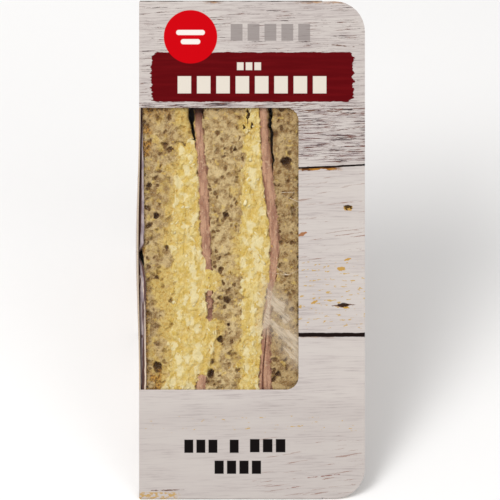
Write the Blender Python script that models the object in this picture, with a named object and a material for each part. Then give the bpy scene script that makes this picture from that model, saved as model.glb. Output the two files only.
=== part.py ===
"""A packed club sandwich: a wedge-shaped card carton with a cut-out window backed by clear film, and in it
one triangular sandwich of three bread slices, two layers of egg mayonnaise and two layers of ham.

Every shape is made in the front panel's own frame: X runs across the panel from its left fold, Y climbs
the panel from its bottom fold, and Z points out of it, so a depth into the pack is a negative Z. An empty
tilts that frame by 45 degrees. The pack then stands on its base panel, with the origin at the bottom
centre of its bounding box."""

import math

import bmesh
import bpy
import numpy as np
from mathutils import Vector

GAP = 0.0003  # left between pieces that touch

# The carton, in metres
LEG = 0.123  # depth of the base panel and height of the back panel
FACE = LEG * math.sqrt(2)  # length of the sloping front panel
BODY_WIDTH = 0.064
FLANGE_WIDTH = 0.0146  # how far the front panel passes the right side panel
PANEL_WIDTH = BODY_WIDTH + FLANGE_WIDTH
BOARD = 0.0005
FOLD_RADIUS = 0.0006
FLANGE_CORNER = 0.0105
FLANGE_END = BOARD  # the flange stops this far short of the folds, and so stays above the base
GLUE_FLAP_INSET = 0.001  # the right side's glue flap backs the flange, this far inside its outline

# The window is cut out as far as the left fold, so the left side panel has a free edge that bows out
WINDOW_RIGHT = 0.0555
WINDOW_BOTTOM = 0.0383
WINDOW_TOP = 0.1364
WINDOW_CORNER = 0.0045
BULGE = 0.00145
BULGE_EDGE_SHARE = 0.5  # of the bulge, at the free edge
BULGE_RISE = 0.020  # depth behind the free edge at which the bulge is full

# The film is glued behind the front panel and turns back inside the left side panel
FILM = 0.00025
FILM_MARGIN = 0.007  # round the window
FILM_BEND = 0.0014
FILM_RETURN = 0.013

# The bread: a square slice with rounded corners, cut in half from corner to corner
CUT_DEPTH = 0.0016  # the cut face, behind the front panel's outer face
CRUST_CLEARANCE = 0.001  # between the crust and the outer face of the base and back panels
CRUST_CORNER = 0.012
SANDWICH_LEFT = (0.0016, 0.0017, 0.0020, 0.0026, 0.0028)
SANDWICH_RIGHT = 0.0623

# Each layer: its name, its finish, its thickness on the cut face at five heights from the window's top to
# its bottom, the lowest and highest Y that it reaches, and how far it stays inside the crust. The left
# fillings stop short of the window's top, and leave the two slices apart there.
HEIGHTS = (0.136, 0.112, 0.088, 0.064, 0.040)
WHOLE = (0.0, FACE)
FILLED = (0.016, 0.158)
LAYERS = (
    ("bread_left", "bread_crumb", (0.0154, 0.0119, 0.0098, 0.0103, 0.0076), WHOLE, 0.0),
    ("egg_left", "egg_mayonnaise", (0.0018, 0.0069, 0.0096, 0.0108, 0.0094), (0.016, 0.1255), 0.005),
    ("ham_left", "ham_slice", (0.0031, 0.0035, 0.0037, 0.0021, 0.0035), (0.016, 0.1325), 0.003),
    ("bread_middle", "bread_crumb", (0.0150, 0.0122, 0.0094, 0.0100, 0.0115), WHOLE, 0.0),
    ("egg_right", "egg_mayonnaise", (0.0049, 0.0066, 0.0111, 0.0074, 0.0066), FILLED, 0.005),
    ("ham_right", "ham_slice", (0.0031, 0.0042, 0.0035, 0.0027, 0.0049), FILLED, 0.003),
    ("bread_right", "bread_crumb", None, WHOLE, 0.0),  # takes what is left of the width
)
RELAX_DEPTH = 0.030  # over this depth the layers settle to their mean places
LOOSE_SLICE_GAP = 0.0014  # the right slice stands off the ham at the window's top

STATIONS = 24  # along the cut face
DEPTH_STEPS = 5
SIDE_STATIONS = 22  # along the carton's side panels

# name: colour, roughness, transmission
MATERIALS = {
    "printed_card": ((0.60, 0.53, 0.49), 0.45, 0.0),
    "clear_film": ((0.95, 0.95, 0.95), 0.05, 0.95),
    "bread_crumb": ((0.42, 0.29, 0.13), 0.9, 0.0),
    "egg_mayonnaise": ((0.70, 0.53, 0.20), 0.55, 0.0),
    "ham_slice": ((0.44, 0.24, 0.17), 0.5, 0.0),
}


def material(name):
    """A Principled material of MATERIALS, made once."""
    made = bpy.data.materials.get(name)
    if made:
        return made
    colour, roughness, transmission = MATERIALS[name]
    made = bpy.data.materials.new(name)
    made.use_nodes = True
    shader = made.node_tree.nodes["Principled BSDF"]
    shader.inputs["Base Color"].default_value = (*colour, 1.0)
    shader.inputs["Roughness"].default_value = roughness
    shader.inputs["Metallic"].default_value = 0.0
    shader.inputs["Transmission Weight"].default_value = transmission
    return made


def new_object(name, mesh, frame, finish):
    """Links a mesh as an object under the tilted frame."""
    made = bpy.data.objects.new(name, mesh)
    bpy.context.scene.collection.objects.link(made)
    made.parent = frame
    made.data.materials.append(material(finish))
    return made


def as_cutter(made):
    """Marks a helper, which a Boolean uses and the model leaves out."""
    made.hide_render = True
    made.display_type = "WIRE"
    return made


def combine(made, other, operation):
    """Adds a Boolean of made with a helper object."""
    modifier = made.modifiers.new(other.name, "BOOLEAN")
    modifier.operation = operation
    modifier.object = as_cutter(other)


def slab(name, frame, finish, stations, fractions, depth_range, low, high):
    """A closed slab over a plan in the panel's Y and depth.

    stations are the Y values of its rows. depth_range(y) gives a row's first and last depth, and
    fractions say where the points lie between them. low(y, depth) and high(y, depth) are the X of the
    two sides."""
    rows, columns = len(stations), len(fractions)
    sheet = bmesh.new()
    sides = []
    for side in (low, high):
        grid = []
        for y in stations:
            first, last = depth_range(y)
            depths = [first + f * (last - first) for f in fractions]
            grid.append([sheet.verts.new((side(y, d), y, -d)) for d in depths])
        sides.append(grid)

    def two_triangles(a, b, c, d):
        sheet.faces.new((a, b, c))
        sheet.faces.new((a, c, d))

    for i in range(rows - 1):
        for j in range(columns - 1):
            for grid in sides:
                two_triangles(grid[i][j], grid[i + 1][j], grid[i + 1][j + 1], grid[i][j + 1])
    left, right = sides
    for i in range(rows - 1):
        for j in (0, columns - 1):
            two_triangles(left[i][j], left[i + 1][j], right[i + 1][j], right[i][j])
    for j in range(columns - 1):
        for i in (0, rows - 1):
            two_triangles(left[i][j], left[i][j + 1], right[i][j + 1], right[i][j])
    bmesh.ops.remove_doubles(sheet, verts=sheet.verts, dist=1e-6)
    bmesh.ops.dissolve_degenerate(sheet, edges=sheet.edges, dist=1e-6)
    bmesh.ops.recalc_face_normals(sheet, faces=sheet.faces)
    mesh = bpy.data.meshes.new(name)
    sheet.to_mesh(mesh)
    sheet.free()
    return new_object(name, mesh, frame, finish)


def rounded_plate(name, frame, finish, left, right, bottom, top, radius, back, front):
    """A flat plate from depth back to depth front, with its two right corners rounded."""
    outline = [(left, bottom), (right - radius, bottom)]
    for centre_y, start in ((bottom + radius, -90), (top - radius, 0)):
        for angle in range(start, start + 91, 15):
            turn = math.radians(angle)
            x = right - radius + radius * math.cos(turn)
            outline.append((x, centre_y + radius * math.sin(turn)))
    outline.append((left, top))
    plate = bmesh.new()
    face = plate.faces.new([plate.verts.new((x, y, -back)) for x, y in outline])
    moved = bmesh.ops.extrude_face_region(plate, geom=[face])["geom"]
    raised = [v for v in moved if isinstance(v, bmesh.types.BMVert)]
    bmesh.ops.translate(plate, verts=raised, vec=Vector((0, 0, back - front)))
    bmesh.ops.remove_doubles(plate, verts=plate.verts, dist=1e-7)
    bmesh.ops.recalc_face_normals(plate, faces=plate.faces)
    mesh = bpy.data.meshes.new(name)
    plate.to_mesh(mesh)
    plate.free()
    return new_object(name, mesh, frame, finish)


def bulge(y, depth):
    """How far the left side panel bows out: most at half the window's height, a little behind the free
    edge, and not at all at the folds round the panel."""
    along = (y - WINDOW_BOTTOM) / (WINDOW_TOP - WINDOW_BOTTOM)
    if not 0 < along < 1:
        return 0.0
    reach = min(y, FACE - y)
    rise = math.sin(math.pi / 2 * min(1.0, depth / BULGE_RISE))
    share = BULGE_EDGE_SHARE + (1 - BULGE_EDGE_SHARE) * rise
    return BULGE * math.sin(math.pi * along) ** 2 * share * (1 - (depth / reach) ** 2)


def wedge(name, frame, inset):
    """The carton's outer form, or with an inset of one board its inside."""
    first = inset * (1 + math.sqrt(2))
    stations = np.linspace(first, FACE - first, SIDE_STATIONS + 1)
    fractions = np.linspace(0, 1, DEPTH_STEPS + 1)

    def depth_range(y):
        return inset, max(inset, min(y, FACE - y) - inset * math.sqrt(2))

    def low(y, depth):
        return inset - bulge(y, depth)

    def high(y, depth):
        return BODY_WIDTH - inset

    return slab(name, frame, "printed_card", stations, fractions, depth_range, low, high)


def make_carton(frame):
    """The folded and glued blank: a hollow wedge, the flange with its glue flap, and the window."""
    carton = wedge("carton", frame, 0.0)
    folds = carton.modifiers.new("folds", "BEVEL")
    folds.width = FOLD_RADIUS
    folds.segments = 2
    folds.limit_method = "ANGLE"
    folds.angle_limit = math.radians(40)
    root = BODY_WIDTH - 4 * BOARD  # where the flange's boards start, well inside the body
    edge = (FLANGE_END, FACE - FLANGE_END)
    flange = rounded_plate(
        "flange_board", frame, "printed_card", root, PANEL_WIDTH, *edge, FLANGE_CORNER, BOARD, 0.0
    )
    inner = (edge[0] + GLUE_FLAP_INSET, edge[1] - GLUE_FLAP_INSET)
    right = PANEL_WIDTH - GLUE_FLAP_INSET
    flap = rounded_plate(
        "glue_flap", frame, "printed_card", root, right, *inner, FLANGE_CORNER, 2 * BOARD, BOARD / 2
    )
    window = rounded_plate(
        "window_cutter",
        frame,
        "printed_card",
        -10 * BOARD,
        WINDOW_RIGHT,
        WINDOW_BOTTOM,
        WINDOW_TOP,
        WINDOW_CORNER,
        1.2 * BOARD,
        -4 * BOARD,
    )
    combine(carton, flange, "UNION")
    combine(carton, flap, "UNION")
    combine(carton, wedge("cavity_cutter", frame, BOARD), "DIFFERENCE")
    combine(carton, window, "DIFFERENCE")
    return carton


def make_film(frame):
    """The window film: flat behind the front panel, then round a small bend and back along the side."""
    near = BOARD + GAP
    left = BOARD + GAP
    profile = [(left, near + FILM_BEND + FILM_RETURN)]
    for step in range(5):
        turn = math.pi / 2 * step / 4
        x = left + FILM_BEND * (1 - math.cos(turn))
        profile.append((x, near + FILM_BEND * (1 - math.sin(turn))))
    profile.append((WINDOW_RIGHT + FILM_MARGIN - GAP - 2 * BOARD, near))
    bottom = WINDOW_BOTTOM - FILM_MARGIN
    top = WINDOW_TOP + FILM_MARGIN
    sheet = bmesh.new()
    rows = [[sheet.verts.new((x, y, -depth)) for x, depth in profile] for y in (bottom, top)]
    for i in range(len(profile) - 1):
        sheet.faces.new((rows[0][i], rows[0][i + 1], rows[1][i + 1], rows[1][i]))
    mesh = bpy.data.meshes.new("window_film")
    sheet.to_mesh(mesh)
    sheet.free()
    film = new_object("window_film", mesh, frame, "clear_film")
    thickness = film.modifiers.new("thickness", "SOLIDIFY")
    thickness.thickness = FILM
    thickness.offset = -1.0
    thickness.use_even_offset = True
    return film


# Half a bread slice, measured along the cut from its middle and in from the cut face
CRUST_DEPTH = FACE / 2 - CRUST_CLEARANCE * math.sqrt(2) - CUT_DEPTH
TIP_CENTRE = CRUST_DEPTH - CRUST_CORNER * math.sqrt(2)
HALF_CUT = TIP_CENTRE + CRUST_CORNER


def crust_depth(along):
    """Depth of the crust behind the cut face: two straight sides at 45 degrees, and arcs at the slice's
    whole corner and at the two corners that the cut halves."""
    along = abs(along)
    if along < CRUST_CORNER / math.sqrt(2):
        return TIP_CENTRE + math.sqrt(CRUST_CORNER**2 - along**2)
    if along < TIP_CENTRE + CRUST_CORNER / math.sqrt(2):
        return CRUST_DEPTH - along
    return math.sqrt(max(0.0, CRUST_CORNER**2 - (along - TIP_CENTRE) ** 2))


def through(values, y):
    """A smooth (Catmull-Rom) curve through values at HEIGHTS, level above and below them."""
    step = HEIGHTS[0] - HEIGHTS[1]
    place = min(max((HEIGHTS[0] - y) / step, 0.0), len(values) - 1.0)
    index = min(int(place), len(values) - 2)
    t = place - index
    before, start, end, after = (
        values[min(max(index + k, 0), len(values) - 1)] for k in (-1, 0, 1, 2)
    )
    slope_in, slope_out = (end - before) / 2, (after - start) / 2
    return (
        start * (1 + 2 * t) * (1 - t) ** 2
        + end * t * t * (3 - 2 * t)
        + slope_in * t * (1 - t) ** 2
        - slope_out * t * t * (1 - t)
    )


def boundaries():
    """Each boundary between layers, from left to right, as its X at the five HEIGHTS."""
    edges = [SANDWICH_LEFT]
    for _, _, thickness, _, _ in LAYERS[:-1]:
        edges.append(tuple(a + b for a, b in zip(edges[-1], thickness)))
    edges.append((SANDWICH_RIGHT,) * len(HEIGHTS))
    return edges


def settled(edge, y, depth):
    """A boundary's X: as the edge has it at the cut face, and near its mean deep in the sandwich."""
    mean = sum(edge) / len(edge)
    return mean + (through(edge, y) - mean) * math.exp(-depth / RELAX_DEPTH)


def make_layers(frame):
    """The seven layers, each between two boundaries and half a gap inside them."""
    edges = boundaries()
    middle = FACE / 2
    # Rows crowd towards the tips, where the crust turns
    spread = [math.sin(math.pi / 2 * (2 * i / STATIONS - 1)) for i in range(STATIONS + 1)]
    fractions = [i / DEPTH_STEPS for i in range(DEPTH_STEPS + 1)]
    made = []
    for index, (name, finish, _, (lowest, highest), inset) in enumerate(LAYERS):
        inner = [middle + s * HALF_CUT for s in spread]
        if (lowest, highest) == WHOLE:
            stations = inner
        else:
            stations = [lowest, *(y for y in inner if lowest < y < highest), highest]

        def depth_range(y, inset=inset):
            reach = crust_depth(y - middle)
            return CUT_DEPTH, CUT_DEPTH + max(reach - inset, 0.2 * reach)

        def low(y, depth, index=index):
            x = settled(edges[index], y, depth - CUT_DEPTH) + GAP / 2
            if index == len(LAYERS) - 1:
                climb = min(max((y - middle) / (HEIGHTS[0] - middle), 0.0), 1.0)
                x += LOOSE_SLICE_GAP * climb**2
            return x

        def high(y, depth, index=index):
            return settled(edges[index + 1], y, depth - CUT_DEPTH) - GAP / 2

        made.append(slab(name, frame, finish, stations, fractions, depth_range, low, high))
    return made


def stand_at_origin(frame):
    """Moves the frame so that the model's bounding box has its bottom centre at the origin."""
    bpy.context.view_layer.update()
    graph = bpy.context.evaluated_depsgraph_get()
    corners = []
    for made in bpy.context.scene.objects:
        if made.type == "MESH" and not made.hide_render:
            shown = made.evaluated_get(graph)
            corners += [shown.matrix_world @ v.co for v in shown.data.vertices]
    points = np.array(corners)
    lowest, highest = points.min(axis=0), points.max(axis=0)
    frame.location.x -= (lowest[0] + highest[0]) / 2
    frame.location.y -= (lowest[1] + highest[1]) / 2
    frame.location.z -= lowest[2]


def main():
    for old in list(bpy.data.objects):
        bpy.data.objects.remove(old)
    frame = bpy.data.objects.new("panel_frame", None)
    bpy.context.scene.collection.objects.link(frame)
    frame.rotation_euler = (math.radians(45), 0, 0)
    make_carton(frame)
    make_film(frame)
    make_layers(frame)
    stand_at_origin(frame)


main()
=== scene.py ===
# %% [markdown]
# # A packed club sandwich, cell by cell
#
# The object is a shop sandwich: three slices of bread with two layers of egg mayonnaise and two of ham,
# cut corner to corner and stood in a wedge of printed card with a window of clear film.
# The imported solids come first, because they fix where everything is. Each later cell makes one real
# piece around them, as a surface worked out with numpy, and gives it a finish made of nodes.

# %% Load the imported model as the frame
import math

import bmesh
import bpy
import numpy as np
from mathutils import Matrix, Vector


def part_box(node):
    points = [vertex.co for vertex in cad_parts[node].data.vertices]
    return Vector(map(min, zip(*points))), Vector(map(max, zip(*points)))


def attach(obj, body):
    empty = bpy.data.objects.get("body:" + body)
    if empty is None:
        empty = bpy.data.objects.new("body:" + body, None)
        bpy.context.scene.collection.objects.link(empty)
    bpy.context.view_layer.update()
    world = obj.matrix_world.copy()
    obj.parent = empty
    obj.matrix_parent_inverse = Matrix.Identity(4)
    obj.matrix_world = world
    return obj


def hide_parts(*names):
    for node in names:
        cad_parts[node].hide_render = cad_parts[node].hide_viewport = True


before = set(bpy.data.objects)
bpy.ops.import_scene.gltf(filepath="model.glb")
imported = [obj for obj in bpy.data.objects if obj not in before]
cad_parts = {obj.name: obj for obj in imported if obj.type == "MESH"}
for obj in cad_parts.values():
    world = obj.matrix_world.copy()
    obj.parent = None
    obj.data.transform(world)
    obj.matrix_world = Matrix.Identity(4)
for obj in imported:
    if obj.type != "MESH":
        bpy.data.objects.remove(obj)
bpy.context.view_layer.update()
print("nodes:", sorted(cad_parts))

# %% [markdown]
# ## Coordinates on the sloping front
#
# Everything one looks at lies on the front panel, which leans back at 45 degrees. It is far easier to
# think of a piece as "so far across the panel, so far up it, so deep behind it" than in world X, Y and Z.
# So one function turns those three into a place in the world, and another turns them back.

# %% The panel's own coordinates
LEG = 0.123  # depth of the base panel, and height of the back panel
FACE = LEG * math.sqrt(2)  # length of the sloping front panel
BODY_WIDTH = 0.064
PANEL_WIDTH = 0.0786  # the front panel with its flange
CUT_DEPTH = 0.0016  # the sandwich's cut face, behind the front

_, carton_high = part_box("carton")
LEFT_FOLD = carton_high.x - PANEL_WIDTH
FRONT_FOOT = carton_high.y - LEG
HALF_TURN = math.sqrt(0.5)


def place(u, v, d):
    """World points of panel coordinates: u across the panel from its left fold, v up it from its foot and
    d behind it. As the panel leans at 45 degrees, y = (v + d)/√2 and z = (v - d)/√2."""
    u, v, d = np.broadcast_arrays(u, v, d)
    return np.stack([LEFT_FOLD + u, FRONT_FOOT + (v + d) * HALF_TURN, (v - d) * HALF_TURN], axis=-1)


def panel_coordinates(points):
    """The other way round: v = (y + z)/√2 and d = (y - z)/√2, with y measured from the panel's foot."""
    y, z = points[:, 1] - FRONT_FOOT, points[:, 2]
    return points[:, 0] - LEFT_FOLD, (y + z) * HALF_TURN, (y - z) * HALF_TURN


print(f"front panel {PANEL_WIDTH * 1000:.1f} x {FACE * 1000:.1f} mm, foot at y {FRONT_FOOT:.4f}")

# %% [markdown]
# ## The camera
#
# The pack is seen square on to its front, from far away through a long lens, which keeps its edges
# parallel. The camera therefore sits on the line through the panel's middle, at right angles to it.
# The lens follows from similar triangles: focal length over sensor width is view height over distance.

# %% Camera square on to the front
CAMERA_DISTANCE = 3.0
VIEW_HEIGHT = 0.174
VIEW_MIDDLE = (0.0386, 0.0869)
SENSOR = 36.0

camera_data = bpy.data.cameras.new("camera")
camera_data.sensor_width = SENSOR
camera_data.lens = SENSOR * CAMERA_DISTANCE / VIEW_HEIGHT
camera_data.clip_end = 20.0
camera = bpy.data.objects.new("camera", camera_data)
bpy.context.scene.collection.objects.link(camera)
camera.location = place(*VIEW_MIDDLE, -CAMERA_DISTANCE)
camera.rotation_euler = (math.radians(45), 0.0, 0.0)
bpy.context.scene.camera = camera
bpy.context.scene.view_settings.view_transform = "Standard"
print(f"lens {camera_data.lens:.0f} mm")

# %% [markdown]
# ## Making a mesh from arrays
#
# A grid of points becomes a mesh once neighbouring points are joined by quads. With whole arrays the
# quads are four shifted copies of the grid of point numbers, so no loop visits a single point.
# A closed grid also joins its last column to its first, as round a tube.
# Afterwards points that lie on each other are merged, which closes seams and ends, and the faces are
# turned if the enclosed volume comes out negative, so that they point outwards.

# %% Grids into meshes
MERGE_DISTANCE = 2e-7


def quads_of(rows, columns, closed=False, start=0):
    """Quads of a rows x columns grid: corner (i, j), then (i, j+1), (i+1, j+1) and (i+1, j)."""
    numbers = start + np.arange(rows * columns).reshape(rows, columns)
    if closed:
        numbers = np.concatenate([numbers, numbers[:, :1]], axis=1)
    corners = (numbers[:-1, :-1], numbers[:-1, 1:], numbers[1:, 1:], numbers[1:, :-1])
    return np.stack(corners, axis=-1).reshape(-1, 4)


def outward(points, quads):
    """The quads, all turned if the volume under them, a sum of a · (b x c) / 6, is negative."""
    a, b, c, d = (points[quads[:, k]] for k in range(4))
    volume = (a * np.cross(b, c)).sum() + (a * np.cross(c, d)).sum()
    return quads if volume > 0 else quads[:, ::-1]


def build(name, points, quads, attributes=None, solid=True, merge=MERGE_DISTANCE, flat=None):
    """Makes an object of points and quads, with one float attribute for each array in attributes, and with
    flat, two numbers a point, as its UV map."""
    if solid:
        quads = outward(points - points.mean(axis=0), quads)
    mesh = bpy.data.meshes.new(name)
    mesh.from_pydata(points, [], quads)
    if flat is not None:
        mesh.uv_layers.new(name="blank").data.foreach_set("uv", flat[quads.ravel()].ravel())
    for attribute, values in (attributes or {}).items():
        layer = mesh.attributes.new(attribute, "FLOAT", "POINT")
        layer.data.foreach_set("value", np.ascontiguousarray(values, dtype=np.float32).ravel())
    work = bmesh.new()
    work.from_mesh(mesh)
    bmesh.ops.remove_doubles(work, verts=work.verts, dist=merge)
    bmesh.ops.dissolve_degenerate(work, edges=work.edges, dist=merge)
    work.to_mesh(mesh)
    work.free()
    mesh.shade_smooth()
    made = bpy.data.objects.new(name, mesh)
    bpy.context.scene.collection.objects.link(made)
    print(f"{name}: {len(mesh.polygons)} faces")
    return made


# %% [markdown]
# ## Randomness with a shape
#
# Bread, egg and ham are uneven, but each in its own way. Three fields cover them.
# Noise gives soft unevenness. Bubbles give the holes of a crumb, each a shallow bowl.
# Lumps give a packed mass of pieces, with creases where two pieces meet.
# All three are functions of a place, so they can be read at as fine a grid as one likes.

# %% Noise, bubbles and lumps
TABLE = 128


def value_noise(x, y, seed):
    """Smooth random heights from -1 to 1. Each whole-numbered crossing holds a random number, and a point
    between four crossings blends them with the weight 3t² - 2t³ each way."""
    table = np.random.default_rng(seed).uniform(-1, 1, (TABLE, TABLE))
    column, row = np.floor(x).astype(int), np.floor(y).astype(int)
    across, up = x - column, y - row
    across, up = across**2 * (3 - 2 * across), up**2 * (3 - 2 * up)
    left, right, below, above = column % TABLE, (column + 1) % TABLE, row % TABLE, (row + 1) % TABLE
    lower = table[left, below] * (1 - across) + table[right, below] * across
    upper = table[left, above] * (1 - across) + table[right, above] * across
    return lower * (1 - up) + upper * up


def rough(x, y, size, octaves, seed):
    """Noise with bumps of about the given size, plus octaves - 1 finer layers, each half as wide and half
    as high as the last."""
    layers = [value_noise(x / size * 2**k + 3.7 * k, y / size * 2**k + 1.9 * k, seed + k) / 2**k
              for k in range(octaves)]
    return sum(layers)


def neighbours(x, y, cell, seed, draws):
    """For each of the nine cells round a point: the offset to that cell's own random middle, and the
    cell's other random numbers."""
    table = np.random.default_rng(seed).uniform(0, 1, (2 + draws, TABLE, TABLE))
    column, row = np.floor(x / cell).astype(int), np.floor(y / cell).astype(int)
    for i in (-1, 0, 1):
        for j in (-1, 0, 1):
            picked = table[:, (column + i) % TABLE, (row + j) % TABLE]
            yield x - (column + i + picked[0]) * cell, y - (row + j + picked[1]) * cell, picked[2:]


def bubbles(x, y, cell, chance, radii, seed):
    """Depth of holes scattered one to a cell, with the given chance. A hole of radius r is r·√(1 - q²)
    deep, where q is the distance from its middle over r, measured on an ellipse turned at random."""
    depth = np.zeros_like(x)
    for dx, dy, (size, kept, stretch, turn) in neighbours(x, y, cell, seed, 4):
        radius = np.where(kept < chance, radii[0] + (radii[1] - radii[0]) * size**2, 1e-9)
        long = np.sqrt(1 + stretch)
        cosine, sine = np.cos(turn * math.pi), np.sin(turn * math.pi)
        along, across = (dx * cosine + dy * sine) / long, (dy * cosine - dx * sine) * long
        near = (along**2 + across**2) / radius**2
        depth = np.maximum(depth, radius * np.sqrt(np.clip(1 - near, 0, 1)))
    return depth


def lumps(x, y, cell, seed):
    """A packed mass, one piece to a cell. Gives each point the distance to its own piece's middle, how far
    it is from the crease with the next piece, both in cells, and its piece's random number."""
    first = np.full(x.shape, 9.0)
    second = np.full(x.shape, 9.0)
    number = np.zeros(x.shape)
    for dx, dy, (mark,) in neighbours(x, y, cell, seed, 1):
        distance = np.hypot(dx, dy) / cell
        nearer = distance < first
        second = np.where(nearer, first, np.minimum(second, distance))
        number = np.where(nearer, mark, number)
        first = np.where(nearer, distance, first)
    return first, second - first, number


def ramp(value, low, high):
    """0 below low, 1 above high and 3t² - 2t³ between."""
    t = np.clip((value - low) / (high - low), 0, 1)
    return t * t * (3 - 2 * t)


def hump(value, low, high, fade):
    """1 between low and high, and 0 a fade beyond them."""
    return ramp(value, low - fade, low) * (1 - ramp(value, high, high + fade))


# %% [markdown]
# ## The layers' outlines, read from the CAD
#
# Each layer is a slab between two wavy boundaries. Its CAD solid already has them, in rows of points up
# the panel. Reading those rows keeps the fine layer exactly where the plain one is. Behind the cut face
# the boundaries settle to a mean place, and that is one exponential, which two points of a row give.

# %% Outline of one layer
SETTLE_DEPTH = 0.030


class Outline:
    """A CAD layer's rows: their v, the u of the two sides at the cut face, and the depth of the crust.
    A straight side has points only at its ends, so each row's points are told apart by the side of the
    layer's middle line that they lie on."""

    def __init__(self, node):
        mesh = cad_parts[node].data
        points = np.empty(len(mesh.vertices) * 3)
        mesh.vertices.foreach_get("co", points)
        u, v, d = panel_coordinates(points.reshape(-1, 3))
        v = np.round(v, 5)
        at_cut = d < CUT_DEPTH + 1e-4
        self.v = np.unique(v[at_cut])
        rows = [v == row for row in self.v]
        self.crust = np.array([d[row].max() for row in rows])
        low = np.array([u[row & at_cut].min() for row in rows])
        high = np.array([u[row & at_cut].max() for row in rows])
        both = high - low > 0.001
        middle = np.interp(self.v, self.v[both], 0.5 * (low + high)[both])
        self.left = (self.v[low < middle], low[low < middle])
        self.right = (self.v[high > middle], high[high > middle])
        deepest = int(np.argmax(self.crust))
        back = u[rows[deepest] & (d > self.crust[deepest] - 1e-4)]
        self.fade_there = math.exp(-(self.crust[deepest] - CUT_DEPTH) / SETTLE_DEPTH)
        self.deep_left = self.settled(back[back < middle[deepest]], self.left, self.v[deepest])
        self.deep_right = self.settled(back[back > middle[deepest]], self.right, self.v[deepest])

    def settled(self, back, side, v):
        """u far behind the cut, solved from the side's u at the cut and at the back of one row."""
        front = np.interp(v, *side)
        return (back[0] - front * self.fade_there) / (1 - self.fade_there) if len(back) else front

    def sides(self, v, d):
        """u of both sides: deep + (at the cut - deep)·e^(-depth/settle)."""
        fade = np.exp(-np.clip(d - CUT_DEPTH, 0, None) / SETTLE_DEPTH)
        left = self.deep_left + (np.interp(v, *self.left) - self.deep_left) * fade
        right = self.deep_right + (np.interp(v, *self.right) - self.deep_right) * fade
        return left, right


outlines = {name: Outline(name) for name in sorted(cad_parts) if name not in ("carton", "window_film")}
for name, outline in outlines.items():
    print(f"{name}: {np.ptp(outline.v) * 1000:.0f} mm tall, {len(outline.v)} rows")

# %% [markdown]
# ## Where one layer stops and the next begins
#
# The knife presses the layers together, so most neighbours touch, and what one sees is a ragged change of
# colour rather than a crack. Touching neighbours therefore share one border line. Where the CAD leaves a
# real gap, such as beside the loose right-hand slice, each keeps its own edge, and the gap stays open.

# %% Borders
LAYERS = ("bread_left", "egg_left", "ham_left", "bread_middle", "egg_right", "ham_right", "bread_right")
WINDOW_RIGHT = 0.0555
WINDOW_BOTTOM, WINDOW_TOP = 0.0383, 0.1364
WINDOW_CORNER = 0.0045
OPEN_GAP = 0.0009  # neighbours further apart than this don't meet
BORDER_WANDER = 0.0003
UNDER_PLEATS = 0.0008
LOOSE_WANDER = 0.5  # the loose slice's crumbled edge wanders this share more
LOOSE_SHIFT = 0.0002  # and lies this far nearer the ham
TORN_EDGE = (  # v, and the least u that the left slice reaches there
    (0.1240, 0.1248, 0.1286, 0.1335, 0.1375), (0.0, 0.0196, 0.0183, 0.0173, 0.0170),
)


def border(k, side, v):
    """u of layer k's left (0) or right (1) border at the cut, and the width of the gap beyond it, which is 0
    where the next layer is near and both share the line half way between them. The loose slice's left
    border wanders more than the others."""
    own = outlines[LAYERS[k]].sides(v, CUT_DEPTH)[side]
    if (k, side) == (0, 1):  # the left slice is torn and leans over at the window's top
        own = np.maximum(own, np.interp(v, *TORN_EDGE))
    if (k, side) == (0, 0):  # and its other edge runs on under the film's pleats
        own = own - UNDER_PLEATS
    step = 2 * side - 1
    gap = np.full_like(v, OPEN_GAP * 2 * (k + side > 0))
    if 0 <= k + step < len(LAYERS):
        other = outlines[LAYERS[k + step]]
        theirs = other.sides(v, CUT_DEPTH)[1 - side]
        there = (v > other.v[0]) & (v < other.v[-1])
        apart = np.where(there, step * (theirs - own), gap)
        opened = ramp(apart, 0.5 * OPEN_GAP, OPEN_GAP)
        own = own + (1 - opened) * 0.5 * (theirs - own)
        gap = opened * apart
    loose = (k, side) == (6, 0)
    wander = BORDER_WANDER * (1 + LOOSE_WANDER * loose) * rough(v, 0 * v, 0.0029, 4, 40 + k + side)
    return own - LOOSE_SHIFT * loose + wander, gap


print(f"window {WINDOW_RIGHT * 1000:.1f} x {(WINDOW_TOP - WINDOW_BOTTOM) * 1000:.1f} mm")


# %% [markdown]
# ## The cut face as one field
#
# Bread, egg and ham smear into one another, so their make-up is one function over the whole cut face, and
# every layer reads it. First come the shares of egg and ham, with ragged borders. Then comes the relief
# that each food has by itself.
# A crumb is a foam, and a knife opens its bubbles: the relief is the depth of the deepest bubble, of three
# sizes. Egg mayonnaise is billowy: |noise| has round tops and sharp valleys. Ham has long fine fibres.

# %% Shares of egg and ham
EGG_LEFT_TOP = 0.1250
HAM_LEFT_TOP = 0.1380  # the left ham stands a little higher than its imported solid, and leans back up there
HAM_LEAN, HAM_LEAN_HEIGHT = 0.0060, 0.0105
BETWEEN_HAMS = 0.030  # u of a place that is right of the left ham and left of the right one
SOFT = 0.00022  # half width of a border's change of colour


def band(u, low, high):
    """1 between low and high."""
    return ramp(u - low, -SOFT, SOFT) * ramp(high - u, -SOFT, SOFT)


def over_ham(v):
    """How far egg hides the left ham: a long smear low in the window, and a short one higher up, above which
    the ham tapers."""
    low = hump(v, WINDOW_BOTTOM + 0.0065, WINDOW_BOTTOM + 0.0235, 0.0015)
    high = hump(v, WINDOW_BOTTOM + 0.0355, WINDOW_BOTTOM + 0.0395, 0.0015)
    taper = hump(v, WINDOW_BOTTOM + 0.0395, WINDOW_BOTTOM + 0.0420, 0.0090)
    return 0.0038 * low + 0.0034 * high + 0.0012 * taper


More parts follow.
